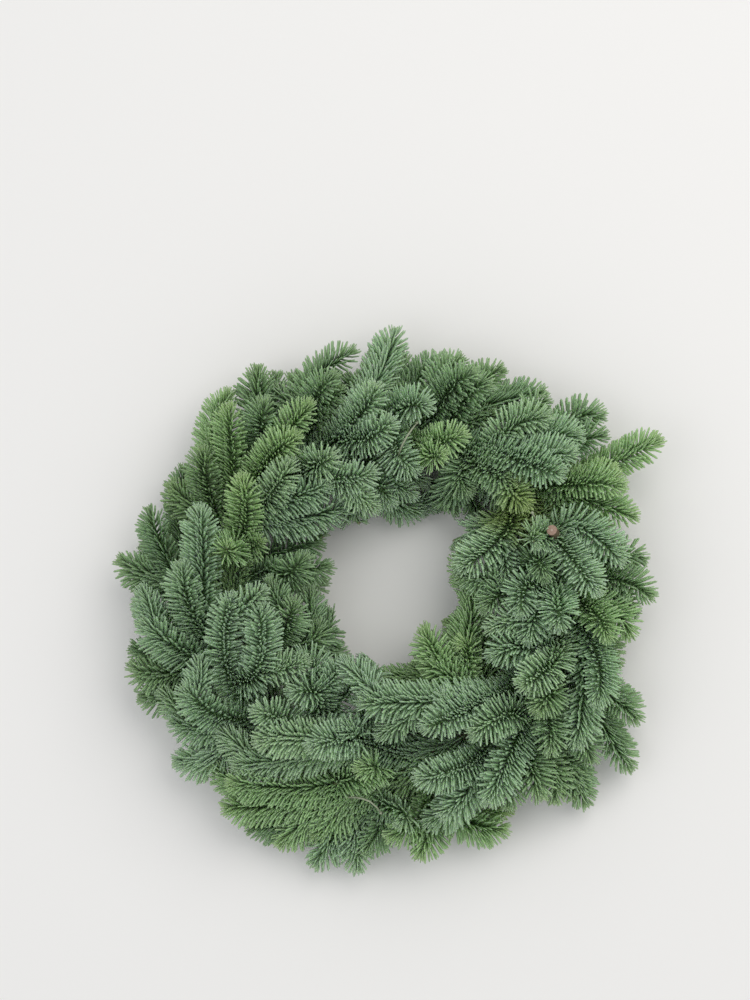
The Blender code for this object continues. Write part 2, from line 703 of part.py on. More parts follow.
def grow_spray(number, routes, thicket, draw, material):
    """One cut branch tip, its stem and shoots fused into one solid."""
    name = "fir_spray_{:02d}".format(number + 1)
    shoots = [
        grow_shoot(name, points, thicket, (number, place), draw, material)
        for place, points in enumerate(routes)
    ]
    spray = union_into(shoots[0], shoots[1:])
    spray.name = name
    return spray


def stand_on_origin(things):
    """Hang everything on one empty, placed so that the box's bottom centre is the origin."""
    corners = np.vstack([[vert.co[:] for vert in thing.data.vertices] for thing in things])
    middle = (corners.min(axis=0) + corners.max(axis=0)) / 2
    root = bpy.data.objects.new("wreath", None)
    bpy.context.scene.collection.objects.link(root)
    root.location = (-middle[0], -middle[1], 0.0)
    for thing in things:
        thing.parent = root


def make_wreath():
    clear_scene()
    thicket = Thicket()
    draw = random.Random(SEED)
    things = [make_frame(thicket), make_binding(thicket)]
    tints = {tint: make_material("fir_" + tint, TINTS[tint], FOLIAGE) for tint in TINTS}
    routes = route_sprays(thicket, draw)
    for number in sorted(routes):
        tint, _ = SPRAYS[number]
        things.append(grow_spray(number, routes[number], thicket, draw, tints[tint]))
    stand_on_origin(things)


make_wreath()
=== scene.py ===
import math
import random

import bmesh
import bpy
import numpy as np
from mathutils import Matrix, Vector


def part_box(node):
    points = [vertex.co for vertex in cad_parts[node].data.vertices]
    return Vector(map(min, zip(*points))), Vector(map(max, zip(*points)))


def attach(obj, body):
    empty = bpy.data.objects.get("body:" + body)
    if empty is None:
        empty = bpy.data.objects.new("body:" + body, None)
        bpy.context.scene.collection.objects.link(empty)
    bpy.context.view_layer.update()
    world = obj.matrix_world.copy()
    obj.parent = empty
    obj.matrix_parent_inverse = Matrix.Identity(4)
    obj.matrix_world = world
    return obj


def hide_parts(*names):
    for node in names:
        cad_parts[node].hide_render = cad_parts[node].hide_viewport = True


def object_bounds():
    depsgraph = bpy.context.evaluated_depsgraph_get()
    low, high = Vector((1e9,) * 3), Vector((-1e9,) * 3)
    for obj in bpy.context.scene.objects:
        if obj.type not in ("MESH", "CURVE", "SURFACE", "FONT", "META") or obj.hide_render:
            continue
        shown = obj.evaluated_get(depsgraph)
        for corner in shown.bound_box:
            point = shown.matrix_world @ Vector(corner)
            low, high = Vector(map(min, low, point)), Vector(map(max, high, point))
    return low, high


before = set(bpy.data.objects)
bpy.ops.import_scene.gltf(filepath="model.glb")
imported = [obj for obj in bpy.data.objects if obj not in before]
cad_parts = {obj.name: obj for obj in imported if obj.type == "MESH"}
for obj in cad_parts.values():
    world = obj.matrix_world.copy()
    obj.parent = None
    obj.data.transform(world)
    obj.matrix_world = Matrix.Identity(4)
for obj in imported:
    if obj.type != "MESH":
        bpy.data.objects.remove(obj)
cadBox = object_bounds()
mm = 0.001
print("frame loaded")

scene = bpy.context.scene
scene.view_settings.view_transform = "Standard"
ringMiddle = np.mean(np.array(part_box("wire_frame")), axis=0) * (1, 1, 0)


class Nodes:  # short ways to add and join nodes in one material
    def __init__(self, name):
        self.material = bpy.data.materials.new(name)
        self.material.use_nodes = True
        self.tree = self.material.node_tree
        self.shader = self.tree.nodes["Principled BSDF"]

    def add(self, kind, inputs=(), **settings):
        node = self.tree.nodes.new(kind)
        for key, value in settings.items():
            setattr(node, key, value)
        for socket, value in dict(inputs).items():
            self.put(node.inputs[socket], value)
        return node

    def put(self, socket, value):
        if isinstance(value, bpy.types.NodeSocket):
            self.tree.links.new(value, socket)
        elif isinstance(value, tuple) and len(value) == 3 and socket.type == "RGBA":
            socket.default_value = (*value, 1)
        else:
            socket.default_value = value

    def mix(self, share, first, second, blend="MIX"):
        node = self.add("ShaderNodeMix", data_type="RGBA", blend_type=blend)
        for socket, value in zip((0, 6, 7), (share, first, second)):
            self.put(node.inputs[socket], value)
        return node.outputs[2]

    def maths(self, operation, *values):
        node = self.add("ShaderNodeMath", operation=operation)
        for socket, value in zip(node.inputs, values):
            self.put(socket, value)
        return node.outputs[0]

    def ramp(self, share, *stops):
        node = self.add("ShaderNodeValToRGB", {"Fac": share})
        while len(node.color_ramp.elements) < len(stops):
            node.color_ramp.elements.new(0.5)
        for element, (position, value) in zip(node.color_ramp.elements, stops):
            element.position = position
            element.color = (value, value, value, 1)
        return node.outputs["Color"]

    def where(self):
        return self.add("ShaderNodeTexCoord").outputs["Object"]

    def noise(self, scale, detail=2.0):
        vector = self.where()
        node = self.add("ShaderNodeTexNoise", {"Scale": scale, "Detail": detail, "Vector": vector})
        return node.outputs["Fac"]

    def paint(self, colour, roughness):
        self.put(self.shader.inputs["Base Color"], colour)
        self.put(self.shader.inputs["Roughness"], roughness)
        return self.material

    def finish(self, colour, roughness, height, strength, distance):
        sizes = {"Strength": strength, "Distance": distance, "Height": height}
        node = self.add("ShaderNodeBump", sizes)
        self.put(self.shader.inputs["Normal"], node.outputs["Normal"])
        return self.paint(colour, roughness)


def shown(name, data):
    thing = bpy.data.objects.new(name, data)
    scene.collection.objects.link(thing)
    return thing


def showPiece(bm, name, materials):
    mesh = bpy.data.meshes.new(name)
    bm.to_mesh(mesh)
    bm.free()
    for material in materials:
        mesh.materials.append(material)
    return shown(name, mesh)


# The camera stands where the photograph's did, over a pale floor.
camera = {
    "lens": 100,
    "distance": 2.22,
    "fromRight": 4.0,  # degrees off the ring's axis
    "fromBelow": 6.0,
    "lookLeft": 8 * mm,  # where the picture's middle falls, from the ring's middle
    "lookUp": 77.6 * mm,
    "lookHeight": 60 * mm,
}


def placeCamera():
    lens = bpy.data.cameras.new("camera")
    lens.lens = camera["lens"]
    seen = shown("camera", lens)
    right = math.radians(camera["fromRight"])
    below = math.radians(camera["fromBelow"])
    level = math.cos(right)
    back = Vector((math.sin(right), -math.sin(below) * level, math.cos(below) * level))
    aside = Vector((-camera["lookLeft"], camera["lookUp"], camera["lookHeight"]))
    middle = Vector(ringMiddle) + aside
    up = (Vector((0, 1, 0)) - back * back.y).normalized()
    side = up.cross(back)
    turn = Matrix((side, up, back)).transposed().to_4x4()
    seen.matrix_world = Matrix.Translation(middle + back * camera["distance"]) @ turn
    scene.camera = seen


floor = {"size": 8.0, "colour": (0.86, 0.845, 0.82), "roughness": 0.9, "drop": 0.3 * mm}


def layFloor():
    bm = bmesh.new()
    bmesh.ops.create_grid(bm, x_segments=1, y_segments=1, size=floor["size"] / 2)
    bmesh.ops.translate(bm, verts=bm.verts, vec=(0, 0, -floor["drop"]))
    pale = Nodes("paleFloor").paint(floor["colour"], floor["roughness"])
    showPiece(bm, "floor", [pale])


light = {
    "sky": (0.95, 0.97, 1.0),
    "skyStrength": 0.66,
    "key": {"at": (1.25, 1.1, 2.2), "size": 2.4, "power": 33, "colour": (1.0, 0.98, 0.95)},
    "fill": {"at": (-1.4, -0.3, 2.1), "size": 2.0, "power": 9, "colour": (0.96, 0.98, 1.0)},
}


def placeLights():
    world = bpy.data.worlds.new("studio")
    world.use_nodes = True
    background = world.node_tree.nodes["Background"]
    background.inputs["Color"].default_value = (*light["sky"], 1)
    background.inputs["Strength"].default_value = light["skyStrength"]
    scene.world = world
    for name in ("key", "fill"):
        values = light[name]
        lamp = bpy.data.lights.new(name, "AREA")
        lamp.size = values["size"]
        lamp.energy = values["power"]
        lamp.color = values["colour"]
        thing = shown(name, lamp)
        thing.location = values["at"]
        thing.rotation_euler = (-Vector(values["at"])).to_track_quat("-Z", "Y").to_euler()


placeCamera()
layFloor()
placeLights()
print("camera, floor and light placed")


# The ways of the twigs are found by the same rule as in the solids.
rails = {
    "inner": 104 * mm,
    "outer": 160 * mm,
    "raised": 132 * mm,
    "wire": 1.6 * mm,
    "raisedHeight": 11.4 * mm,
    "steps": 36,
    "sides": 6,
}
cross = {
    "count": 10,
    "wire": 1.3 * mm,
    "crown": 9.4 * mm,
    "shoulderOut": 17 * mm,
    "shoulder": 8.2 * mm,
}
reel = {
    "turns": 20,
    "open": 0.25,
    "steps": 12,
    "sides": 3,
    "wire": 0.6 * mm,
    "radius": 14.0 * mm,
    "gap": 0.32 * mm,
    "firstClock": math.radians(9),
}
stem = {"gap": 0.32 * mm, "radius": 2.4 * mm, "length": 44 * mm, "steps": 3, "lead": 40 * mm}
twig = {
    "radius": 2.0 * mm,
    "tipRadius": 1.2 * mm,
    "rootShare": 0.36,
    "sideRoot": 0.34,
    "forkPull": 0.5,
    "sidePull": 0.6,
    "arcSteps": 14,
    "stemBare": 0.42,
    "sideBare": 0.35,
    "pitch": 17 * mm,
    "leastSpan": 6 * mm,
    "reach": 2 * mm,
    "bud": 3.5 * mm,
    "clearance": 0.28 * mm,
    "needlePitch": 18.5 * mm,
    "needleWidth": 2.0 * mm,
    "overhang": 12 * mm,
}
dome = {"low": 0.12, "high": 0.47, "lowHeight": 40 * mm, "highHeight": 90 * mm, "lowest": 12 * mm}
search = {
    "seed": 38,
    "stemTries": 1500,
    "sideTries": 500,
    "perSlot": 5,
    "stemBends": (5, 0.6, 1.8),
    "stemShifts": (40, 0.5, 1.0),
    "sideBends": (5, 1.0, 1.0),
    "sideShifts": (20, 0.5, 1.0),
    "bend": (9 * mm, 9 * mm, 6 * mm),
    "tipShift": (6 * mm,) * 3,
    "forkShift": (-22 * mm, 18 * mm),
    "rootShift": (-18 * mm, 24 * mm),
    "reach": 4 * mm,
}

# Each spray: its green, then its shoots as tip x, tip y, tip z, out x, out y in mm from the ring.
sprays = (
    ("glaucous", (0, 171, 96, -26, 129), (10, 224, 48, -4, 182), (14, 142, 98, -16, 118)),
    ("mid", (-32, 180, 84, -68, 158), (-18, 202, 60, -76, 175)),
    ("glaucous", (10, 68, 62, -12, 94), (36, 70, 24, 0, 74), (-12, 61, 26, -40, 66)),
    ("fresh", (56, 114, 92, 32, 106), (72, 130, 88, 44, 122)),
    ("mid", (80, 180, 76, 44, 170), (68, 196, 50, 42, 184)),
    ("mid", (94, 174, 66, 64, 162), (101, 188, 40, 75, 180), (134, 170, 34, 94, 159)),
    ("glaucous", (158, 108, 92, 90, 126), (138, 142, 82, 90, 139), (163, 124, 74, 120, 134)),
    ("mid", (185, 126, 50, 143, 134), (182, 145, 38, 143, 154), (138, 159, 60, 104, 152)),
    ("fresh", (227, 129, 48, 162, 106), (192, 102, 60, 154, 92)),
    ("glaucous", (147, 90, 99, 84, 118), (120, 66, 84, 92, 88)),
    ("fresh", (198, 86, 68, 154, 92), (207, 62, 50, 170, 74)),
    ("glaucous", (173, -5, 92, 133, 54), (193, 21, 78, 147, 73), (126, 31, 100, 112, 50)),
    ("mid", (219, -4, 50, 184, 18), (212, 24, 38, 192, 42)),
    ("glaucous", (54, 16, 86, 118, 62), (44, 41, 34, 66, 54)),
    ("glaucous", (138, -35, 102, 138, 6), (110, -24, 96, 105, 18), (114, -44, 90, 116, -12)),
    ("fresh", (179, -42, 76, 170, -9), (196, -39, 52, 188, -8)),
    ("glaucous", (102, -76, 100, 148, -48), (80, -54, 88, 108, -32)),
    ("fresh", (28, -19, 70, 37, -47), (63, -7, 52, 84, 18), (52, -45, 70, 72, -33)),
    ("fresh", (26, -50, 62, 51, -60), (41, -22, 34, 64, -16), (14, -50, 40, 38, -60)),
    ("glaucous", (167, -94, 84, 172, -41), (151, -126, 64, 156, -92)),
    ("mid", (203, -107, 36, 184, -66), (200, -142, 25, 176, -112)),
    ("mid", (166, -138, 42, 158, -110), (164, -170, 22, 150, -150)),
    ("glaucous", (26, -108, 102, 86, -81), (45, -71, 88, 49, -92), (-24, -86, 94, 24, -81)),
    ("glaucous", (80, -169, 84, 105, -103), (64, -114, 92, 108, -82)),
    ("mid", (120, -166, 58, 124, -130), (131, -170, 42, 140, -132), (145, -167, 26, 154, -134)),
    ("glaucous", (19, -145, 92, 80, -138), (38, -177, 70, 77, -152), (24, -182, 52, 62, -168)),
    ("fresh", (22, -212, 36, 40, -182), (102, -184, 34, 62, -184), (-6, -193, 46, 28, -180)),
    ("glaucous", (-27, -225, 24, -21, -181), (4, -184, 66, 28, -168), (-64, -219, 22, -39, -185)),
    ("fresh", (-137, -166, 48, -25, -172), (-93, -202, 28, -74, -184), (-68, -191, 30, -42, -182)),
    ("fresh", (-131, -146, 70, -34, -155), (-28, -138, 82, 20, -130)),
    ("glaucous", (-64, -122, 94, -14, -102), (-106, -116, 92, -74, -110), (-127, -132, 70, -93, -137)),
    ("glaucous", (-79, -79, 92, -34, -66), (-26, -42, 58, 8, -60), (-74, -42, 84, -48, -56)),
    ("glaucous", (-162, -65, 84, -133, -109), (-179, -95, 56, -144, -110), (-178, -128, 38, -128, -136)),
    ("mid", (-214, -51, 48, -182, -61), (-207, -76, 36, -171, -82), (-214, -33, 26, -196, -45)),
    ("glaucous", (-198, -13, 70, -162, -58), (-209, 2, 46, -180, -14)),
    ("glaucous", (-116, 6, 102, -138, -62), (-96, -2, 104, -90, -78)),
    ("mid", (-72, 3, 90, -69, -30), (-45, -2, 42, -42, -36), (-56, -12, 66, -52, -44)),
    ("mid", (-222, 39, 40, -192, 6), (-194, 80, 52, -180, 30)),
    ("glaucous", (-162, 33, 84, -158, -23), (-146, 76, 92, -144, 14)),
    ("fresh", (-114, 101, 90, -106, 52), (-118, 47, 98, -126, 28)),
    ("mid", (-37, 28, 56, -68, 18), (-57, 38, 80, -77, 11)),
    ("glaucous", (-69, 113, 94, -90, 74), (-37, 90, 84, -70, 78), (-24, 74, 64, -85, 56)),
    ("mid", (-42, 56, 36, -74, 40), (-46, 22, 24, -66, 2)),
    ("mid", (-152, 126, 64, -136, 86), (-177, 102, 40, -170, 80)),
    ("fresh", (-123, 160, 80, -130, 94), (-123, 176, 42, -156, 123)),
    ("mid", (-96, 164, 78, -99, 130), (-104, 195, 46, -108, 150), (-89, 192, 36, -96, 156)),
    ("fresh", (-62, 130, 94, -103, 106), (-52, 158, 90, -82, 130)),
    ("glaucous", (-32, 114, 96, -60, 98), (0, 102, 88, -32, 86)),
    ("glaucous", (44, 146, 90, 12, 158), (32, 94, 84, 4, 112)),
    ("mid", (112, 86, 84, 68, 106), (76, 80, 66, 52, 94), (62, 65, 38, 42, 80)),
    ("mid", (76, -18, 84, 92, 8), (128, 4, 90, 122, 40)),
    ("mid", (128, -130, 78, 140, -88), (116, -98, 92, 140, -64)),
    ("glaucous", (-108, -90, 94, -68, -98), (-40, -100, 84, 0, -118)),
    ("mid", (-28, -205, 30, 14, -186), (-120, -186, 24, -84, -176)),
    ("mid", (186, -60, 26, 176, -20), (156, -112, 24, 166, -74)),
    ("mid", (-186, 60, 24, -178, 18), (-166, 118, 24, -172, 76)),
    ("mid", (60, 196, 26, 16, 190), (-60, 184, 26, -104, 166)),
)


def unit(vector):
    return vector / np.linalg.norm(vector)


def ringPoint(clock, radius, height):
    return np.array([radius * math.sin(clock), radius * math.cos(clock), height])


class Route:
    def __init__(self, points):
        self.points = np.array(points)
        self.steps = np.linalg.norm(np.diff(self.points, axis=0), axis=1)
        self.lengths = np.concatenate([[0], np.cumsum(self.steps)])
        self.length = self.lengths[-1]

    def at(self, distance):
        return np.array([np.interp(distance, self.lengths, axis) for axis in self.points.T])

    def heading(self, distance):
        ahead = self.at(min(distance + twig["reach"], self.length))
        behind = self.at(max(distance - twig["reach"], 0))
        return unit(ahead - behind)


class Thicket:  # everything placed so far, as tapered rods
    def __init__(self):
        self.rods = np.zeros((0, 8))
        self.owners = np.zeros((0, 2), int)

    def add(self, points, radii, owner):
        radii = np.broadcast_to(radii, len(points))
        rods = np.column_stack([points[:-1], points[1:], radii[:-1], radii[1:]])
        self.rods = np.vstack([self.rods, rods])
        self.owners = np.vstack([self.owners, np.tile(owner, (len(rods), 1))])

    def near(self, points, reach, skip):
        low = points.min(axis=0) - reach
        high = points.max(axis=0) + reach
        bottom = np.minimum(self.rods[:, :3], self.rods[:, 3:6])
        top = np.maximum(self.rods[:, :3], self.rods[:, 3:6])
        inside = (bottom < high).all(axis=1) & (top > low).all(axis=1)
        for owner in skip:
            inside &= (self.owners != owner).any(axis=1)
        return self.rods[inside]


def leastGap(start, end, startRadius, endRadius, rods):
    if len(rods) == 0:
        return 1.0
    along = end - start
    others = rods[:, 3:6] - rods[:, :3]
    offset = start - rods[:, :3]
    own = along @ along
    theirs = np.einsum("ij,ij->i", others, others) + 1e-15  # so that nothing divides by 0
    mixed = others @ along
    ownOffset = offset @ along
    theirOffset = np.einsum("ij,ij->i", others, offset)
    spread = own * theirs - mixed**2
    s = np.where(spread > 1e-18, (mixed * theirOffset - ownOffset * theirs) / (spread + 1e-30), 0)
    s = np.clip(s, 0, 1)
    t = np.clip((mixed * s + theirOffset) / theirs, 0, 1)
    s = np.clip((mixed * t - ownOffset) / own, 0, 1)
    apart = offset + s[:, None] * along - t[:, None] * others
    radii = startRadius + (endRadius - startRadius) * s
    radii = radii + rods[:, 6] + (rods[:, 7] - rods[:, 6]) * t
    return float((np.linalg.norm(apart, axis=1) - radii).min())


def routeGap(points, radii, rods):
    steps = zip(points, points[1:], radii, radii[1:])
    return min(leastGap(*step, rods) for step in steps)


flatHeight = rails["wire"] * math.cos(math.pi / rails["sides"])
innerReel = reel["radius"] * math.cos(math.pi / reel["steps"])
reelFace = reel["wire"] * math.cos(math.pi / reel["sides"])
bundleHeight = rails["raisedHeight"] - flatHeight - reel["gap"] - reelFace + innerReel


def awayFromBundle(point):
    middle = ringPoint(math.atan2(point[0], point[1]), rails["raised"], bundleHeight)
    return unit(point - middle)


def reelPoint(turn, radius):
    clock = reel["firstClock"] + 2 * math.pi * turn / reel["turns"]
    angle = 2 * math.pi * turn + math.pi / reel["steps"]
    across = rails["raised"] - radius * math.sin(angle)
    return ringPoint(clock, across, bundleHeight - radius * math.cos(angle))


def crossPoints(number):
    clock = 2 * math.pi * number / cross["count"]
    middle = rails["raised"]
    places = (
        (rails["inner"], flatHeight),
        (middle - cross["shoulderOut"], cross["shoulder"]),
        (middle, cross["crown"]),
        (middle + cross["shoulderOut"], cross["shoulder"]),
        (rails["outer"], flatHeight),
    )
    return [ringPoint(clock, *place) for place in places]


def addWires(thicket):
    heights = {"inner": flatHeight, "outer": flatHeight, "raised": rails["raisedHeight"]}
    for name in ("inner", "outer", "raised"):
        clocks = np.linspace(0, 2 * math.pi, rails["steps"] + 1)
        points = np.array([ringPoint(clock, rails[name], heights[name]) for clock in clocks])
        thicket.add(points, rails["wire"], (-1, 0))
    for number in range(cross["count"]):
        points = np.array(crossPoints(number))
        thicket.add(points, cross["wire"], (-1, 0))
    turns = reel["turns"] - reel["open"]
    count = round(turns * reel["steps"])
    points = np.array([reelPoint(turns * n / count, reel["radius"]) for n in range(count + 1)])
    thicket.add(points, reelFace, (-1, 1))


def bundleSlots():
    reach = innerReel - reelFace - stem["gap"] - stem["radius"]
    slots = []
    for number in range(1, reel["steps"]):
        angle = 2 * math.pi * number / reel["steps"]
        slots.append((-reach * math.sin(angle), bundleHeight - reach * math.cos(angle)))
    return slots


def riseOf(height):
    share = (height - dome["lowHeight"]) / (dome["highHeight"] - dome["lowHeight"])
    return dome["low"] + (dome["high"] - dome["low"]) * min(max(share, 0.0), 1.0)


def shootEnds(shoot):
    tipX, tipY, tipZ, outX, outY = (value * mm for value in shoot)
    run = math.hypot(tipX - outX, tipY - outY)
    outZ = max(tipZ - riseOf(tipZ) * run, dome["lowest"])
    out = np.array([outX, outY, outZ])
    tip = np.array([tipX, tipY, tipZ])
    return tip - unit(tip - out) * twig["overhang"], out


def arcBetween(start, startPull, endPull, end):
    share = np.linspace(0, 1, twig["arcSteps"])[:, None]
    rest = 1 - share
    bend = rest**3 * start + 3 * rest**2 * share * startPull
    return bend + 3 * rest * share**2 * endPull + share**3 * end


def strayed(point, reaches, effort, limits, draw):
    tries, growth, most = limits
    share = min(effort // tries * growth, most)
    return point + np.array([draw.uniform(-reach, reach) for reach in reaches]) * share


def stemWays(shoots, draw):
    tip, out = shootEnds(shoots[0])
    clock = math.atan2(out[0], out[1])
    outwards = math.hypot(out[0], out[1]) - rails["raised"]
    leaning = math.atan2(out[2] - bundleHeight, outwards)
    lean = np.array([math.cos(leaning), math.sin(leaning)])
    slots = bundleSlots()
    slots.sort(key=lambda slot: -(slot[0] * lean[0] + (slot[1] - bundleHeight) * lean[1]))
    for effort in range(search["stemTries"]):
        offset, height = slots[(effort // search["perSlot"]) % len(slots)]
        lead = stem["lead"] + draw.uniform(*search["forkShift"])
        forkClock = clock - lead / rails["raised"]
        radius = rails["raised"] + offset
        footClock = forkClock - stem["length"] / radius
        clocks = np.linspace(footClock, forkClock, stem["steps"], endpoint=False)
        lying = np.array([ringPoint(place, radius, height) for place in clocks])
        fork = ringPoint(forkClock, radius, height)
        along = np.array([math.cos(forkClock), -math.sin(forkClock), 0.0])
        pull = fork + along * np.linalg.norm(out - fork) * twig["forkPull"]
        bent = strayed(out, search["bend"], effort, search["stemBends"], draw)
        end = strayed(tip, search["tipShift"], effort, search["stemShifts"], draw)
        yield np.vstack([lying, arcBetween(fork, pull, bent, end)])


def sideWays(stemPoints, shoot, draw):
    tip, out = shootEnds(shoot)
    trunk = Route(stemPoints)
    middle = stem["length"] + (trunk.length - stem["length"]) * twig["sideRoot"]
    for effort in range(search["sideTries"]):
        start = middle + draw.uniform(*search["rootShift"]) * min(effort, 1)
        root = trunk.at(start)
        aside = unit(out - root)
        reach = np.linalg.norm(out - root) * twig["forkPull"] * twig["sidePull"]
        pull = root + (trunk.heading(start) + aside) * reach
        bent = strayed(out, search["bend"], effort, search["sideBends"], draw)
        end = strayed(tip, search["tipShift"], effort, search["sideShifts"], draw)
        yield arcBetween(root, pull, bent, end)


def stationsOf(length, place):
    lying = 0.0 if place else stem["length"]
    bareShare = twig["sideBare"] if place else twig["stemBare"]
    bare = lying + (length - lying) * bareShare
    places = [stem["length"] * step / stem["steps"] for step in range(stem["steps"]) if lying]
    places += [*np.arange(lying, bare - twig["leastSpan"], twig["pitch"])]
    last = length - twig["bud"] - twig["needleWidth"]
    count = max(round((last - bare) / twig["needlePitch"]), 1)
    for step in range(count + 1):
        start = bare + (last - bare) * step / count
        places += [start, start + twig["needleWidth"]]
    return places + [length]


def knotsOf(points, place):
    route = Route(points)
    places = stationsOf(route.length, place)
    startRadius = twig["radius"] if place else stem["radius"]
    knots = np.array([route.at(distance) for distance in places])
    return knots, startRadius + (twig["tipRadius"] - startRadius) * np.array(places) / route.length


def clearest(ways, place, thicket, own):
    bestGap, best = -1.0, None
    for points in ways:
        points[:, 2] = np.maximum(points[:, 2], dome["lowest"])
        knots, radii = knotsOf(points, place)
        gap = routeGap(knots, radii, thicket.near(knots, search["reach"], own))
        if own:
            rods = thicket.near(knots, search["reach"], own[:1])
            first = round(len(knots) * twig["rootShare"])
            gap = min(gap, routeGap(knots[first:], radii[first:], rods))
        if gap > bestGap:
            bestGap, best = gap, points
        if gap > twig["clearance"]:
            break
    return best


def findWays():
    thicket = Thicket()
    draw = random.Random(search["seed"])
    addWires(thicket)

    def heightOf(number):
        return shootEnds(sprays[number][1])[1][2]

    ways = {}
    for number in sorted(range(len(sprays)), key=heightOf, reverse=True):
        tint, *shoots = sprays[number]
        stemPoints = clearest(stemWays(shoots, draw), 0, thicket, [])
        thicket.add(*knotsOf(stemPoints, 0), (number, 0))
        ways[number] = [stemPoints]
        for place, shoot in enumerate(shoots[1:], 1):
            own = [(number, earlier) for earlier in range(place)]
            side = clearest(sideWays(stemPoints, shoot, draw), place, thicket, own)
            thicket.add(*knotsOf(side, place), (number, place))
            ways[number].append(side)
    return ways


ways = findWays()
print("ways of the twigs found", len(ways))


# Each green has a deep and a pale end, between which the needles of a shoot vary.
firTints = {
    "firGlaucous": {"deep": (0.145, 0.298, 0.136), "pale": (0.326, 0.515, 0.304)},
    "firMid": {"deep": (0.108, 0.252, 0.094), "pale": (0.272, 0.462, 0.228)},
    "firFresh": {"deep": (0.122, 0.285, 0.084), "pale": (0.308, 0.522, 0.196)},
}
firLook = {
    "lime": (0.400, 0.560, 0.130),
    # root: painted light, a greener, lighter foot on each needle that lifts the shade where needles meet
    # the twig
    "root": (0.235, 0.430, 0.150),
    "wax": (0.525, 0.665, 0.485),
    "patch": 38.0,  # scale of the soft patches over a shoot
    "shadeShares": (0.7, 0.4),  # of the needle's own shade and of the patches
    "bands": ((0.08, 0.0), (0.27, 1.0), (0.5, 0.12), (0.73, 1.0), (0.92, 0.0)),  # across a needle
    "foot": ((0.0, 0.7), (0.22, 0.0)),  # the root's colour along a needle, painted light that lifts the shade at the needles' roots
    "waxShare": 0.5,
    "limeWax": 0.6,  # how much of the wax a lime needle lacks
    "light": (0.35, 1.3),  # the least, and how fast it grows with the tone
    "roughness": 0.5,
    "glow": 0.35,
    "glowColours": (0.7, 1.0, 0.4),
    "glowDepth": 3 * mm,
    "bump": (0.25, 0.2 * mm),
}


def firMaterial(name):
    tint = firTints[name]
    nodes = Nodes(name)
    look = nodes.add("ShaderNodeAttribute", attribute_name="needleLook")
    parts = nodes.add("ShaderNodeSeparateColor", {"Color": look.outputs["Color"]})
    shade, lime, tone = (parts.outputs[n] for n in range(3))
    needleMap = nodes.add("ShaderNodeUVMap", uv_map="needleMap")
    place = nodes.add("ShaderNodeSeparateXYZ", {"Vector": needleMap.outputs["UV"]})
    patch = nodes.noise(firLook["patch"])
    ownShare, patchShare = firLook["shadeShares"]
    # The shade carries painted shade on low shoots and twig feet besides each needle's own paleness.
    shade = nodes.maths("MULTIPLY", shade, ownShare)
    shade = nodes.maths("ADD", shade, nodes.maths("MULTIPLY", patch, patchShare))
    green = nodes.mix(shade, tint["deep"], tint["pale"])
    green = nodes.mix(lime, green, firLook["lime"])
    bands = nodes.ramp(place.outputs["X"], *firLook["bands"])
    wax = nodes.maths("MULTIPLY", bands, firLook["waxShare"])
    waxy = nodes.maths("SUBTRACT", 1.0, nodes.maths("MULTIPLY", lime, firLook["limeWax"]))
    green = nodes.mix(nodes.maths("MULTIPLY", wax, waxy), green, firLook["wax"])
    # Painted light: each needle's foot is mixed towards the root colour, lifting the shade between the
    # needles.
    foot = nodes.ramp(place.outputs["Y"], *firLook["foot"])
    green = nodes.mix(foot, green, firLook["root"])
    # The tone carries painted light towards three o'clock and painted shade at twig feet besides each
    # shoot's own brightness.
    least, growth = firLook["light"]
    lit = nodes.maths("ADD", least, nodes.maths("MULTIPLY", tone, growth))
    dim = nodes.add("ShaderNodeCombineColor", {"Red": lit, "Green": lit, "Blue": lit})
    green = nodes.mix(1.0, green, dim.outputs["Color"], "MULTIPLY")
    nodes.put(nodes.shader.inputs["Subsurface Weight"], firLook["glow"])
    nodes.shader.inputs["Subsurface Radius"].default_value = firLook["glowColours"]
    nodes.put(nodes.shader.inputs["Subsurface Scale"], firLook["glowDepth"])
    return nodes.finish(green, firLook["roughness"], bands, *firLook["bump"])


barkLook = {
    "grain": 900.0,
    "patch": 120.0,
    "brown": ((0.085, 0.052, 0.028), (0.190, 0.135, 0.080)),
    "crack": (0.060, 0.062, 0.028),
    "crackShare": 0.5,
    "young": ((0.100, 0.200, 0.065), (0.170, 0.310, 0.105)),  # the green ends
    "roughness": 0.8,
    "bump": (0.6, 0.4 * mm),
}


def barkMaterial():
    nodes = Nodes("bark")
    grain = nodes.noise(barkLook["grain"], 4.0)
    patch = nodes.noise(barkLook["patch"])
    brown = nodes.mix(patch, *barkLook["brown"])
    crack = nodes.maths("MULTIPLY", grain, barkLook["crackShare"])
    brown = nodes.mix(crack, brown, barkLook["crack"])
    look = nodes.add("ShaderNodeAttribute", attribute_name="needleLook")
    young = nodes.mix(patch, *barkLook["young"])
    brown = nodes.mix(look.outputs["Fac"], brown, young)
    return nodes.finish(brown, barkLook["roughness"], grain, *barkLook["bump"])


# The cut end that shows among the shoots at three o'clock, in mm from the ring's middle.
stub = {
    "spray": 12,
    "foot": (134, 50, 50),
    "bend": (137, 47, 72),
    "top": (133, 50, 87),
    "radius": 4.1 * mm,
    "sides": 20,
    "rim": 0.14,  # the bark's share of the radius
    "ring": 0.9 * mm,  # from one year's ring to the next
    "ringShare": 0.3,
    "grain": 700.0,
    "wood": ((0.250, 0.150, 0.112), (0.450, 0.310, 0.240)),
    "pith": (0.560, 0.470, 0.400),
    "pithShare": 0.6,
    "pithEdge": ((0.12, 1.0), (0.3, 0.0)),
    "roughness": 0.75,
    "bump": (0.3, 0.3 * mm),
}


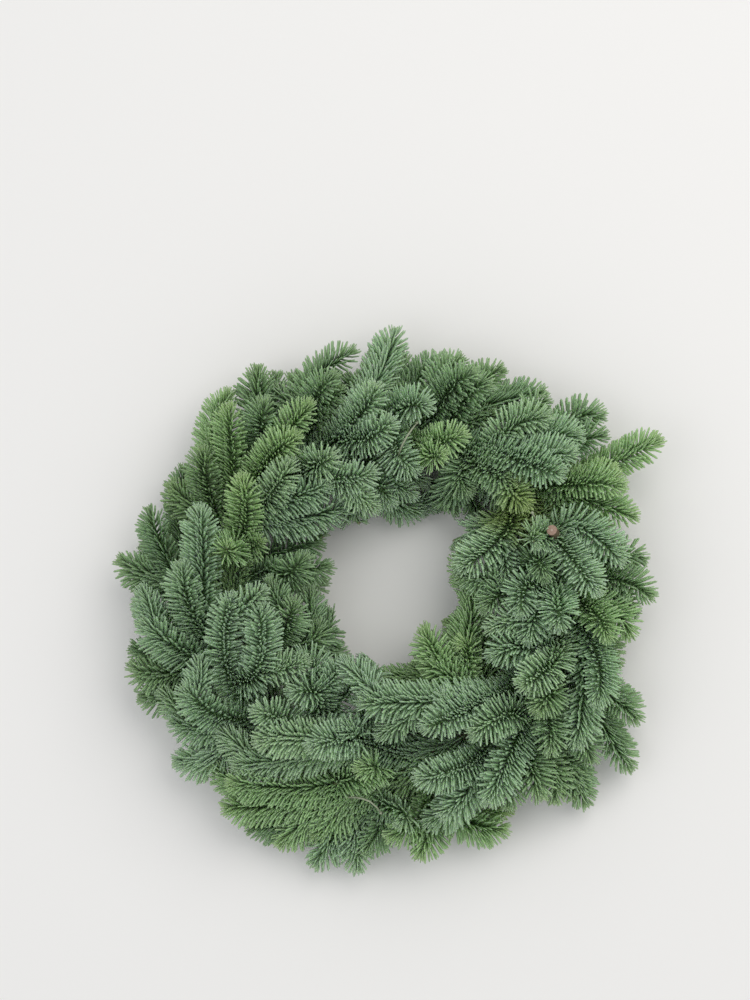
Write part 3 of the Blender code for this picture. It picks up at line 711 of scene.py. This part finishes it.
def cutWoodMaterial():
    nodes = Nodes("cutWood")
    grain = nodes.noise(stub["grain"], 3.0)
    middle = tuple(np.array(stub["top"]) * mm + ringMiddle)
    ends = {0: nodes.where(), 1: middle}
    away = nodes.add("ShaderNodeVectorMath", ends, operation="DISTANCE").outputs["Value"]
    rings = nodes.maths("SINE", nodes.maths("MULTIPLY", away, 2 * math.pi / stub["ring"]))
    rings = nodes.maths("ADD", nodes.maths("MULTIPLY", rings, stub["ringShare"]), grain)
    wood = nodes.mix(rings, *stub["wood"])
    pith = nodes.ramp(nodes.maths("DIVIDE", away, stub["radius"]), *stub["pithEdge"])
    wood = nodes.mix(nodes.maths("MULTIPLY", pith, stub["pithShare"]), wood, stub["pith"])
    return nodes.finish(wood, stub["roughness"], grain, *stub["bump"])


# The bare twiglets that show among the shoots, in mm from the ring's middle.
twiglets = (
    {"spray": 49, "foot": (11, 110, 72), "bend": (16, 122, 94), "top": (27, 137, 80)},
    {"spray": 26, "foot": (-34, -159, 40), "bend": (-11, -156, 73), "top": (-4, -171, 50)},
    {"spray": 12, "foot": (124, 52, 60), "bend": (121, 58, 84), "top": (118, 63, 93)},
)
twigletLook = {
    "radii": (0.9 * mm, 0.6 * mm),
    "grain": 800.0,
    "bark": ((0.240, 0.270, 0.175), (0.450, 0.480, 0.350)),
    "roughness": 0.7,
    "bump": (0.3, 0.3 * mm),
}


def paleBarkMaterial():
    nodes = Nodes("paleBark")
    grain = nodes.noise(twigletLook["grain"], 3.0)
    pale = nodes.mix(grain, *twigletLook["bark"])
    return nodes.finish(pale, twigletLook["roughness"], grain, *twigletLook["bump"])


bud = {
    "length": 3.4 * mm,
    "width": 2.4 * mm,
    "scales": 900.0,
    "brown": ((0.110, 0.085, 0.040), (0.300, 0.270, 0.150)),
    "roughness": 0.45,
    "bump": (0.5, 0.3 * mm),
}


def budMaterial():
    nodes = Nodes("bud")
    cells = {"Scale": bud["scales"], "Vector": nodes.where()}
    scales = nodes.add("ShaderNodeTexVoronoi", cells).outputs["Distance"]
    brown = nodes.mix(scales, *bud["brown"])
    return nodes.finish(brown, bud["roughness"], scales, *bud["bump"])


def extruded(bm, ring):
    grown = bmesh.ops.extrude_edge_only(bm, edges=ring)["geom"]
    kinds = (bmesh.types.BMVert, bmesh.types.BMEdge, bmesh.types.BMFace)
    return [[part for part in grown if isinstance(part, kind)] for kind in kinds]


needle = {
    "length": 19.5 * mm,
    "width": 2.5 * mm,
    "thick": 1.0 * mm,
    "along": (0.0, 0.5, 0.93, 1.0),
    "wide": (0.75, 1.0, 0.85, 0.0),
    "lifts": (0.02, 0.12, 0.22),  # on top of the twig, above its sides and beside it
    "curls": (0.04, 0.09, 0.14),
    "weld": 0.01 * mm,
}


def needleShape(lift, curl):
    bm = bmesh.new()
    uvMap = bm.loops.layers.uv.new("needleMap")
    bm.verts.layers.float_color.new("needleLook")
    bmesh.ops.create_circle(bm, cap_ends=False, segments=3, radius=1.0)
    turn = Matrix.Rotation(-math.pi / 2, 3, "Z")
    bmesh.ops.rotate(bm, cent=(0, 0, 0), matrix=turn, verts=bm.verts)
    ring = bm.edges[:]
    foot = bm.edges[:]
    first = needle["wide"][0]
    # A triangle of radius 1 is 1.5 deep and the root of 3 wide.
    flat = (needle["thick"] * first / 1.5, needle["width"] * first / math.sqrt(3), 1)
    bmesh.ops.scale(bm, vec=flat, verts=bm.verts)
    steps = list(zip(needle["along"], needle["wide"]))
    for (low, narrow), (high, wide) in zip(steps, steps[1:]):
        corners, ring, walls = extruded(bm, ring)
        bmesh.ops.translate(bm, vec=(0, 0, (high - low) * needle["length"]), verts=corners)
        bmesh.ops.scale(bm, vec=(wide / narrow, wide / narrow, 1), verts=corners)
    bmesh.ops.contextual_create(bm, geom=foot)
    bmesh.ops.remove_doubles(bm, verts=bm.verts, dist=needle["weld"])
    bmesh.ops.recalc_face_normals(bm, faces=bm.faces)
    for face in bm.faces:
        face.smooth = True
        for loop in face.loops:
            where = loop.vert.co
            loop[uvMap].uv = (where.y / needle["width"] + 0.5, where.z / needle["length"])
    for vert in bm.verts:
        share = vert.co.z / needle["length"]
        vert.co.x += lift * needle["length"] * share**2
        vert.co.y += curl * needle["length"] * share**2
    return bm


foliage = {
    "seed": 7,
    "pitch": 3.3 * mm,  # from rib to rib on one side of the twig
    "leastRibs": 3,
    "aims": (7, 29, 53, 78, 103),  # how far from upright the needles of one rib stand
    "lean": (48, 42, 34, 26, 22),  # and how far they lean forward
    "size": (0.74, 0.84, 0.95, 1.0, 0.96),
    "lift": (0, 1, 1, 2, 2),
    "aimJitter": 4,
    "leanJitter": 3,
    "sizeSpread": (0.94, 1.04),
    "shootSpread": (0.88, 1.02),
    "stagger": 0.35 * mm,
    "bareFoot": 4 * mm,
    "bareTip": 0.5 * mm,
    "cap": 16 * mm,  # the last stretch, where the needles close over the tip
    "capLean": 66,
    "capLeanCurve": 1.3,
    "capAim": 0.7,
    "capShort": 0.58,
    "capShortCurve": 1.2,
    "rosette": 18,
    "turn": math.radians(137.508),
    "rosetteLean": (58, 84),
    "rosetteSize": (0.50, 0.36),
    "perkFrom": 82 * mm,  # the needles on top of the highest shoots stand up more
    "perkSpan": 10 * mm,
    "perkRows": 2,
    "perkLean": 16,
    "perkSize": 0.26,
    "foot": (46 * mm, 12 * mm),  # the first stretch of a stem and of a side twig
    "footShort": 0.72,
    "lyingShare": 0.7,
    "lyingPart": 0.8,
    "trims": (1.0, 0.86, 0.72, 0.58),  # a needle that would stick out is cut to one of these
    "upZ": 0.7,
    "sink": 0.5 * mm,
    "lowest": 0.8 * mm,
    "slack": 2 * mm,
    # painted shade: the lower a shoot's tip, the darker its needles are painted, as if deeper in the
    # wreath
    "heightMost": 1.1,
    "heightMiddle": 0.75,
    "heightPaintedShade": 0.32,
    "twigShade": 0.15,
    "twigLime": 0.08,
}
# The open middle and the full outer rim of the wreath: (degrees clockwise from the top, mm).
openRim = (
    *((0, 55), (23, 63), (30, 85), (47, 88), (53, 58), (78, 54), (95, 61), (120, 40), (130, 36)),
    *((150, 42), (167, 48), (180, 55), (212, 49), (226, 47), (267, 44), (277, 48), (305, 46)),
    *((314, 74), (325, 70), (343, 70), (350, 62)),
)
fullRim = (
    *((2, 222), (16, 204), (28, 196), (38, 212), (52, 226), (58, 212), (73, 200), (91, 216)),
    *((108, 190), (115, 214), (130, 198), (136, 222), (144, 196), (150, 212), (166, 202)),
    *((174, 206), (184, 188), (200, 198), (212, 212), (230, 210), (236, 200), (248, 216)),
    *((262, 204), (280, 222), (300, 194), (320, 214), (332, 214), (336, 192), (352, 206)),
)
boxLow = np.array(cadBox[0]) - ringMiddle
boxHigh = np.array(cadBox[1]) - ringMiddle


def pastRim(points, rim):
    clock = np.degrees(np.arctan2(points[:, 0], points[:, 1]))
    degrees, reach = np.array(rim).T
    return np.hypot(points[:, 0], points[:, 1]) - np.interp(clock, degrees, reach, period=360) * mm


def fits(tips):
    inside = (tips > boxLow).all(axis=1) & (tips < boxHigh).all(axis=1)
    return inside & (tips[:, 2] > foliage["lowest"]) & (pastRim(tips, openRim) > -foliage["slack"])


def unitRows(rows):
    return rows / np.linalg.norm(rows, axis=1)[:, None]


def pointsOn(route, distances):
    return np.column_stack([np.interp(distances, route.lengths, axis) for axis in route.points.T])


def tipsOf(rows):
    return rows["root"] + rows["along"] * needle["length"] * rows["scale"][:, None]


def needlesOn(way, radii, start, foot, short, dice):
    route = Route(way)
    end = route.length - foliage["bareTip"]
    ribs = max(int((end - start) / foliage["pitch"]), foliage["leastRibs"])
    perRib = len(foliage["aims"])
    inRibs = ribs * 2 * perRib
    count = inRibs + foliage["rosette"]
    order = np.arange(count)
    crown = order >= inRibs
    place = order % perRib
    hand = np.where(order // perRib % 2, 1, -1)

    # where each needle stands on the twig
    step = np.minimum((order // (2 * perRib) + 0.25 + 0.25 * hand) / ribs, 1)
    distances = start + (end - start) * step + dice.normal(0, foliage["stagger"], count)
    distances = np.clip(distances, start, end)
    centre = pointsOn(route, distances)
    ahead = pointsOn(route, np.minimum(distances + twig["reach"], route.length))
    behind = pointsOn(route, distances - twig["reach"])
    heading = unitRows(ahead - behind)
    up = unit(awayFromBundle(way[-1]) + np.array([0, 0, foliage["upZ"]]))
    side = unitRows(np.cross(heading, up))
    above = np.cross(side, heading)
    closing = np.clip(1 - (end - distances) / foliage["cap"], 0, 1)
    opening = np.clip((foot - distances) / foot, 0, 1)

    # how far it turns round the twig and leans forward, and how long it is
    degrees = np.array(foliage["aims"])[place] * (1 + foliage["capAim"] * closing)
    aim = np.radians(degrees + dice.normal(0, foliage["aimJitter"], count)) * hand
    aim = np.where(crown, order * foliage["turn"], aim)
    radius = radii[0] + (radii[1] - radii[0]) * distances / route.length
    radial = above * np.cos(aim)[:, None] + side * np.sin(aim)[:, None]
    root = centre + radial * (radius - foliage["sink"])[:, None]
    lean = np.array(foliage["lean"])[place]
    lean = lean + (foliage["capLean"] - lean) * closing ** foliage["capLeanCurve"]
    lean = lean + dice.normal(0, foliage["leanJitter"], count)
    perk = np.clip((centre[:, 2] - foliage["perkFrom"]) / foliage["perkSpan"], 0, 1)
    perk = perk * (place < foliage["perkRows"])
    lean = np.radians(lean - foliage["perkLean"] * perk)[:, None]
    shorter = (1 - foliage["capShort"]) * closing ** foliage["capShortCurve"]
    scale = np.array(foliage["size"])[place] * (1 - shorter)
    scale *= 1 + foliage["perkSize"] * perk
    scale *= 1 - (1 - foliage["footShort"]) * opening
    scale *= short * dice.uniform(*foliage["sizeSpread"], count)
    inward = (order - inRibs) / foliage["rosette"]
    lean[crown] = np.radians(np.interp(inward[crown], (0, 1), foliage["rosetteLean"]))[:, None]
    scale[crown] = short * np.interp(inward[crown], (0, 1), foliage["rosetteSize"])
    along = unitRows(radial * np.cos(lean) + heading * np.sin(lean))

    # what stays inside the wreath is kept, less of it where the stem lies bound
    kept = np.zeros(count, bool)
    best = scale.copy()
    for trim in foliage["trims"]:
        free = fits(root + along * (needle["length"] * scale * trim)[:, None]) & ~kept
        best[free] *= trim
        kept |= free
    standing = distances > min(foot, stem["length"]) * foliage["lyingPart"]
    kept &= (dice.uniform(0, 1, count) < foliage["lyingShare"]) | standing

    face = unitRows(above - along * (above * along).sum(axis=1)[:, None])
    across = np.cross(along, face)
    forward = (across * heading).sum(axis=1) > 0
    curls = dice.integers(0, len(needle["curls"]), count)
    # Painted shade: low shoots are painted darker, as if deeper in the wreath.
    height = np.clip(way[-1][2] / dome["highHeight"], 0, foliage["heightMost"])
    shade = foliage["heightPaintedShade"] * (height - foliage["heightMiddle"])
    rows = {"root": root, "along": along, "face": face, "across": across, "scale": best}
    rows.update(closing=closing, opening=opening)
    rows["shape"] = (np.array(foliage["lift"])[place] * len(needle["curls"]) + curls) * 2 + forward
    rows["shade"] = np.full(count, shade + dice.normal(0, foliage["twigShade"]))
    rows["lime"] = np.full(count, max(dice.normal(0, foliage["twigLime"]), 0))
    rows["dice"] = dice.normal(0, 1, (count, 3))
    return {name: values[kept] for name, values in rows.items()}


# How the needles of one spray differ: each on its own and near the tips; near the foot they get painted
# shade, and towards three o'clock painted light.
tinting = {
    "shade": 0.07,
    "lime": 0.03,
    "tone": 0.05,
    "tipShade": 0.10,
    # painted shade: how much darker and dimmer the needles near a twig's foot are painted
    "footPaintedShade": 0.15,
    "footPaintedDimming": 0.12,
    "rightPaintedLight": 0.30,  # how much paler the shoots are painted per metre towards three o'clock: painted light, as if lit from that side
}
# A round patch where the needles are drawn darker, more lime and dimmer.
olive = {
    "at": (106 * mm, 70 * mm),
    "reach": 30 * mm,
    "edge": 1.5,
    "lime": 0.7,
    "shade": 0.5,
    "tone": 0.18,
}


def leafTwig(bm, work, shapes, rows, look):
    scale = rows["scale"][:, None]
    sides = [rows[name] * scale for name in ("face", "across", "along")]
    turns = np.stack([*sides, rows["root"] + ringMiddle], axis=2)
    dice = rows["dice"]
    closing = rows["closing"]
    opening = rows["opening"]
    away = np.hypot(*(rows["root"][:, :2] - olive["at"]).T) / olive["reach"]
    olivePatch = np.clip(olive["edge"] * (1 - away), 0, 1)
    shade = look["shade"] + rows["shade"] - olive["shade"] * olivePatch + tinting["shade"] * dice[:, 0]
    # Painted shade: needles near a twig's foot are painted darker here and dimmer below, as if shaded
    # deep in the wreath; needles near the tip are paler.
    shade = shade + tinting["tipShade"] * closing - tinting["footPaintedShade"] * opening
    lime = look["lime"] + rows["lime"] + tinting["lime"] * dice[:, 1] + look["tipLime"] * closing
    # Painted light: needles are painted brighter the further they stand towards three o'clock, as if lit
    # from that side.
    tone = look["tone"] + tinting["rightPaintedLight"] * rows["root"][:, 0] + tinting["tone"] * dice[:, 2]
    tone = tone - tinting["footPaintedDimming"] * opening
    shade = np.clip(shade, 0, 1)
    lime = np.clip(lime + olive["lime"] * olivePatch, 0, 1)
    tone = np.clip(tone - olive["tone"] * olivePatch, 0, 1)
    for number in range(len(scale)):
        shapes[rows["shape"][number]].to_mesh(work)
        painted = (shade[number], lime[number], tone[number], 1.0)
        work.attributes["needleLook"].data.foreach_set("color", painted * len(work.vertices))
        work.transform(Matrix([*turns[number].tolist(), (0, 0, 0, 1)]))
        bm.from_mesh(work)


# The material slots of a twig's foot, wall and bud: 1 bark, 2 cut wood, 3 bud, 4 pale bark.
faceSlots = {"stem": (2, 1, 3), "twig": (1, 1, 3), "twiglet": (4, 4, 4)}
bark = {"sides": 7, "pitch": 7 * mm, "leastSteps": 4, "greenOver": 20 * mm}


def sectionFrame(centre, heading, radius):
    side = unit(np.cross(heading, (0, 0, 1)))
    above = np.cross(side, heading)
    columns = np.column_stack([side * radius, above * radius, heading, centre])
    return Matrix([*columns.tolist(), (0, 0, 0, 1)])


def growTwig(bm, way, radii, kind, sides=bark["sides"]):
    footSlot, wallSlot, budSlot = faceSlots[kind]
    route = Route(way)
    count = max(int(route.length / bark["pitch"]), bark["leastSteps"])
    lookLayer = bm.verts.layers.float_color["needleLook"]
    corners = bmesh.ops.create_circle(bm, cap_ends=True, segments=sides, radius=1.0)["verts"]
    foot = corners[0].link_faces[0]
    faces = [foot]
    lying = 0
    if kind == "stem":
        lying = stem["length"]
        rim = bmesh.ops.inset_region(bm, faces=[foot], thickness=stub["rim"])["faces"]
        for face in rim:
            face.material_index = wallSlot
        faces += rim
    corners = list(dict.fromkeys(corner for face in faces for corner in face.verts))
    edges = dict.fromkeys(edge for face in faces for edge in face.edges)
    ring = [edge for edge in edges if edge.is_boundary]
    foot.material_index = footSlot
    before = Matrix()
    for number in range(count + 1):
        distance = route.length * number / count
        radius = radii[0] + (radii[1] - radii[0]) * number / count
        centre = route.at(distance) + ringMiddle
        frameHere = sectionFrame(centre, route.heading(distance), radius)
        if number:
            corners, ring, walls = extruded(bm, ring)
            for wall in walls:
                wall.material_index = wallSlot
                wall.smooth = True
            faces += walls
        bmesh.ops.transform(bm, matrix=frameHere @ before.inverted(), verts=corners)
        green = min(max((distance - lying) / bark["greenOver"], 0), 1)
        for corner in corners:
            corner[lookLayer] = (green, green, green, 1)
        before = frameHere
    faces += bmesh.ops.contextual_create(bm, geom=ring)["faces"]
    faces[-1].material_index = wallSlot
    bmesh.ops.recalc_face_normals(bm, faces=faces)
    tip = Matrix.Translation(before.translation) @ before.to_3x3().normalized().to_4x4()
    ball = bmesh.ops.create_icosphere(bm, subdivisions=2, radius=0.5)["verts"]
    bmesh.ops.scale(bm, vec=(bud["width"], bud["width"], bud["length"]), verts=ball)
    bmesh.ops.transform(bm, matrix=tip, verts=ball)
    for face in {face for vert in ball for face in vert.link_faces}:
        face.material_index = budSlot
        face.smooth = True


def bowedWay(foot, bend, top, count):
    shares = np.linspace(0, 1, count)
    return np.array([foot * (1 - s) ** 2 + 2 * bend * s * (1 - s) + top * s**2 for s in shares])


def bentWay(ends):
    foot, bend, top = (np.array(ends[name]) * mm for name in ("foot", "bend", "top"))
    return bowedWay(foot, bend, top, 9)


def growStub(bm):
    radii = (stub["radius"], stub["radius"])
    growTwig(bm, bentWay(stub)[::-1], radii, "stem", stub["sides"])


# Short twigs fill the layer under the shoots.
fill = {
    "length": (34 * mm, 48 * mm),
    "angle": 50,
    "angleSpread": 14,
    "drop": 0.24,
    "from": 4 * mm,
    "to": 0.93,
    "step": 9 * mm,
    "bend": 0.5,
    "end": (0.85, 0.2),  # how far on and how far along the shoot, in lengths
    "points": 7,
    "radius": 1.1 * mm,
    "taper": 0.8,
    "bareFoot": 2 * mm,
    "short": 0.84,
    "inner": 9 * mm,
    "outer": 12 * mm,
    "thin": 2,  # needles over a cell that still count as bare
    "rounds": (0.4, 0.3, 0.22, 0.16, 0.12),  # the bare share that calls for a twig
    "spread": range(-12, 13, 3),  # mm to each side, where the bare share is read
    "most": 150,
    "cell": 2 * mm,
    "field": 240 * mm,
}


class Cover:  # how many needles lie over each cell, seen from above
    def __init__(self):
        self.count = np.zeros((int(2 * fill["field"] / fill["cell"]),) * 2, int)

    def cells(self, points):
        return ((points[:, :2] + fill["field"]) / fill["cell"]).astype(int)

    def add(self, rows):
        for part in np.linspace(0.05, 1, 10):
            reach = (needle["length"] * part * rows["scale"])[:, None]
            cells = self.cells(rows["root"] + rows["along"] * reach)
            np.add.at(self.count, (cells[:, 0], cells[:, 1]), 1)

    def bareShare(self, points):
        wanted = (pastRim(points, openRim) > 0) & (pastRim(points, fullRim) < 0)
        cells = self.cells(points[wanted])
        thin = self.count[cells[:, 0], cells[:, 1]] <= fill["thin"]
        return thin.sum() / len(points)


def fillWays(way, lying, dice):
    route = Route(way)
    onwards, aslant = fill["end"]
    places = np.arange(lying * 0.5 + fill["from"], route.length * fill["to"], fill["step"])
    for distance in places:
        for hand in (1, -1):
            root = route.at(distance)
            heading = route.heading(distance)
            side = unit(np.cross(heading, (0, 0, 1))) * hand
            length = dice.uniform(*fill["length"])
            spread = dice.uniform(-fill["angleSpread"], fill["angleSpread"])
            angle = math.radians(fill["angle"] + spread)
            aim = heading * math.cos(angle) + side * math.sin(angle)
            aim = aim - np.array([0, 0, fill["drop"]])
            bent = root + aim * length * fill["bend"]
            end = root + aim * length * onwards + heading * length * aslant
            points = bowedWay(root, bent, end, fill["points"])
            points[:, 2] = np.maximum(points[:, 2], dome["lowest"])
            within = pastRim(points, fullRim).max() < -fill["outer"]
            if within and pastRim(points, openRim).min() > fill["inner"]:
                yield points, side


# Low twigs hide the frame from the side.
skirt = {
    "every": 12,  # degrees
    "fewest": 60,  # needle tips that hide the frame over that many degrees
    "low": 22 * mm,
    "inner": 126 * mm,
    "outer": 156 * mm,
    "reach": 36 * mm,
    "bend": (0.4, 0.35),  # outwards and onwards, in reaches
    "end": (0.95, 0.6),
    "endHeight": 13 * mm,
}


def skirtWays(leafy):
    tips = np.vstack([tipsOf(rows) for held in leafy.values() for rows in held])
    radii = np.hypot(tips[:, 0], tips[:, 1])
    tips = tips[(tips[:, 2] < skirt["low"]) & (radii > skirt["outer"])]
    points = [(*point, number) for number in ways for way in ways[number] for point in way]
    points = np.array(points)
    radii = np.hypot(points[:, 0], points[:, 1])
    points = points[(radii > skirt["inner"]) & (radii < skirt["outer"])]

    def beside(places, clock):
        away = np.degrees(np.arctan2(places[:, 0], places[:, 1])) - clock
        return np.abs((away + 180) % 360 - 180) < skirt["every"] / 2

    for clock in range(0, 360, skirt["every"]):
        near = points[beside(points, clock)]
        if beside(tips, clock).sum() >= skirt["fewest"] or not len(near):
            continue
        *root, number = near[near[:, 2].argmin()]
        root = np.array(root)
        outwards = unit(root * (1, 1, 0))
        onwards = np.array([outwards[1], -outwards[0], 0])
        bent, end = (
            root + outwards * skirt["reach"] * out + onwards * skirt["reach"] * on
            for out, on in (skirt["bend"], skirt["end"])
        )
        end += outwards * min(-fill["outer"] - pastRim(end[None], fullRim)[0], 0)
        end[2] = skirt["endHeight"]
        bent[2] = (root[2] + end[2]) / 2
        yield int(number), bowedWay(root, bent, end, fill["points"])


# The green of each spray: how pale, how lime, how bright, and how lime at the tips.
looks = {
    "glaucous": {"shade": 0.62, "lime": 0.02, "tone": 0.52, "tipLime": 0.05},
    "mid": {"shade": 0.42, "lime": 0.06, "tone": 0.42, "tipLime": 0.10},
    "fresh": {"shade": 0.58, "lime": 0.08, "tone": 0.53, "tipLime": 0.14},
}
firOf = {"glaucous": "firGlaucous", "mid": "firMid", "fresh": "firFresh"}


def allShoots():
    for number in sorted(ways):
        for place, way in enumerate(ways[number]):
            yield number, place, way


def dressShoots(leafy, twigs, cover, dice):
    for number, place, way in allShoots():
        foot = foliage["foot"][min(place, 1)]
        radii = (twig["radius"] if place else stem["radius"], twig["tipRadius"])
        short = dice.uniform(*foliage["shootSpread"])
        rows = needlesOn(way, radii, foliage["bareFoot"], foot, short, dice)
        cover.add(rows)
        leafy[number].append(rows)
        twigs[number].append((way, radii, "twig" if place else "stem"))


def addTwig(leafy, twigs, number, points, dice):
    radii = (fill["radius"], fill["radius"] * fill["taper"])
    rows = needlesOn(points, radii, fill["bareFoot"], foliage["foot"][1], fill["short"], dice)
    leafy[number].append(rows)
    twigs[number].append((points, radii, "twig"))
    return rows


def addFill(leafy, twigs, cover, dice):
    added = 0
    for wanted in fill["rounds"]:
        for number, place, way in allShoots():
            for points, side in fillWays(way, 0.0 if place else stem["length"], dice):
                spread = np.vstack([points + side * reach * mm for reach in fill["spread"]])
                if added < fill["most"] and cover.bareShare(spread) >= wanted:
                    cover.add(addTwig(leafy, twigs, number, points, dice))
                    added += 1
    return added


def makeSprays():
    fir = {name: firMaterial(name) for name in firTints}
    wood = [barkMaterial(), cutWoodMaterial(), budMaterial()]
    pale = paleBarkMaterial()
    bends = [(lift, curl) for lift in needle["lifts"] for curl in needle["curls"]]
    shapes = [needleShape(lift, curl * hand) for lift, curl in bends for hand in (-1, 1)]
    work = bpy.data.meshes.new("needle")
    dice = np.random.default_rng(foliage["seed"])
    cover = Cover()
    leafy = {number: [] for number in ways}
    twigs = {number: [] for number in ways}
    dressShoots(leafy, twigs, cover, dice)
    added = addFill(leafy, twigs, cover, dice)
    lowWays = list(skirtWays(leafy))
    for number, points in lowWays:
        addTwig(leafy, twigs, number, points, dice)
    needles = sum(len(rows["root"]) for held in leafy.values() for rows in held)
    print("needles", needles, "short twigs", added, "low twigs", len(lowWays))
    total = 0
    for number, (tint, *shoots) in enumerate(sprays, 1):
        bm = bmesh.new()
        bm.verts.layers.float_color.new("needleLook")
        bm.loops.layers.uv.new("needleMap")
        for rows in leafy[number - 1]:
            leafTwig(bm, work, shapes, rows, looks[tint])
        for grown in twigs[number - 1]:
            growTwig(bm, *grown)
        if number == stub["spray"]:
            growStub(bm)
        bare = [ends for ends in twiglets if number == ends["spray"]]
        for ends in bare:
            growTwig(bm, bentWay(ends), twigletLook["radii"], "twiglet")
        materials = [fir[firOf[tint]], *wood, *[pale for ends in bare]]
        piece = showPiece(bm, "spray{:02d}".format(number), materials)
        total += sum(len(face.vertices) - 2 for face in piece.data.polygons)
        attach(piece, "root")
        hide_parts("fir_spray_{:02d}".format(number))
    bpy.data.meshes.remove(work)
    for shape in shapes:
        shape.free()
    print("sprays grown", len(sprays), "triangles", total)


makeSprays()


wires = {  # the material, its two tints, roughness and metal
    "wire_frame": ("coatedWire", (0.012, 0.035, 0.018), (0.030, 0.075, 0.040), 0.35, 0.0),
    "binding_wire": ("annealedWire", (0.140, 0.145, 0.140), (0.300, 0.310, 0.300), 0.3, 0.9),
}
wireWear = {"patch": 160.0, "worn": 600.0, "rougher": 0.25, "bump": (0.25, 0.2 * mm)}


def wireMaterial(name, dark, light, roughness, metallic):
    nodes = Nodes(name)
    tint = nodes.mix(nodes.noise(wireWear["patch"], 4.0), dark, light)
    worn = nodes.noise(wireWear["worn"], 3.0)
    rougher = nodes.maths("MULTIPLY", worn, wireWear["rougher"])
    nodes.shader.inputs["Metallic"].default_value = metallic
    rough = nodes.maths("ADD", roughness, rougher)
    return nodes.finish(tint, rough, worn, *wireWear["bump"])


for node, look in wires.items():
    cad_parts[node].material_slots[0].material = wireMaterial(*look)
print("wires dressed")
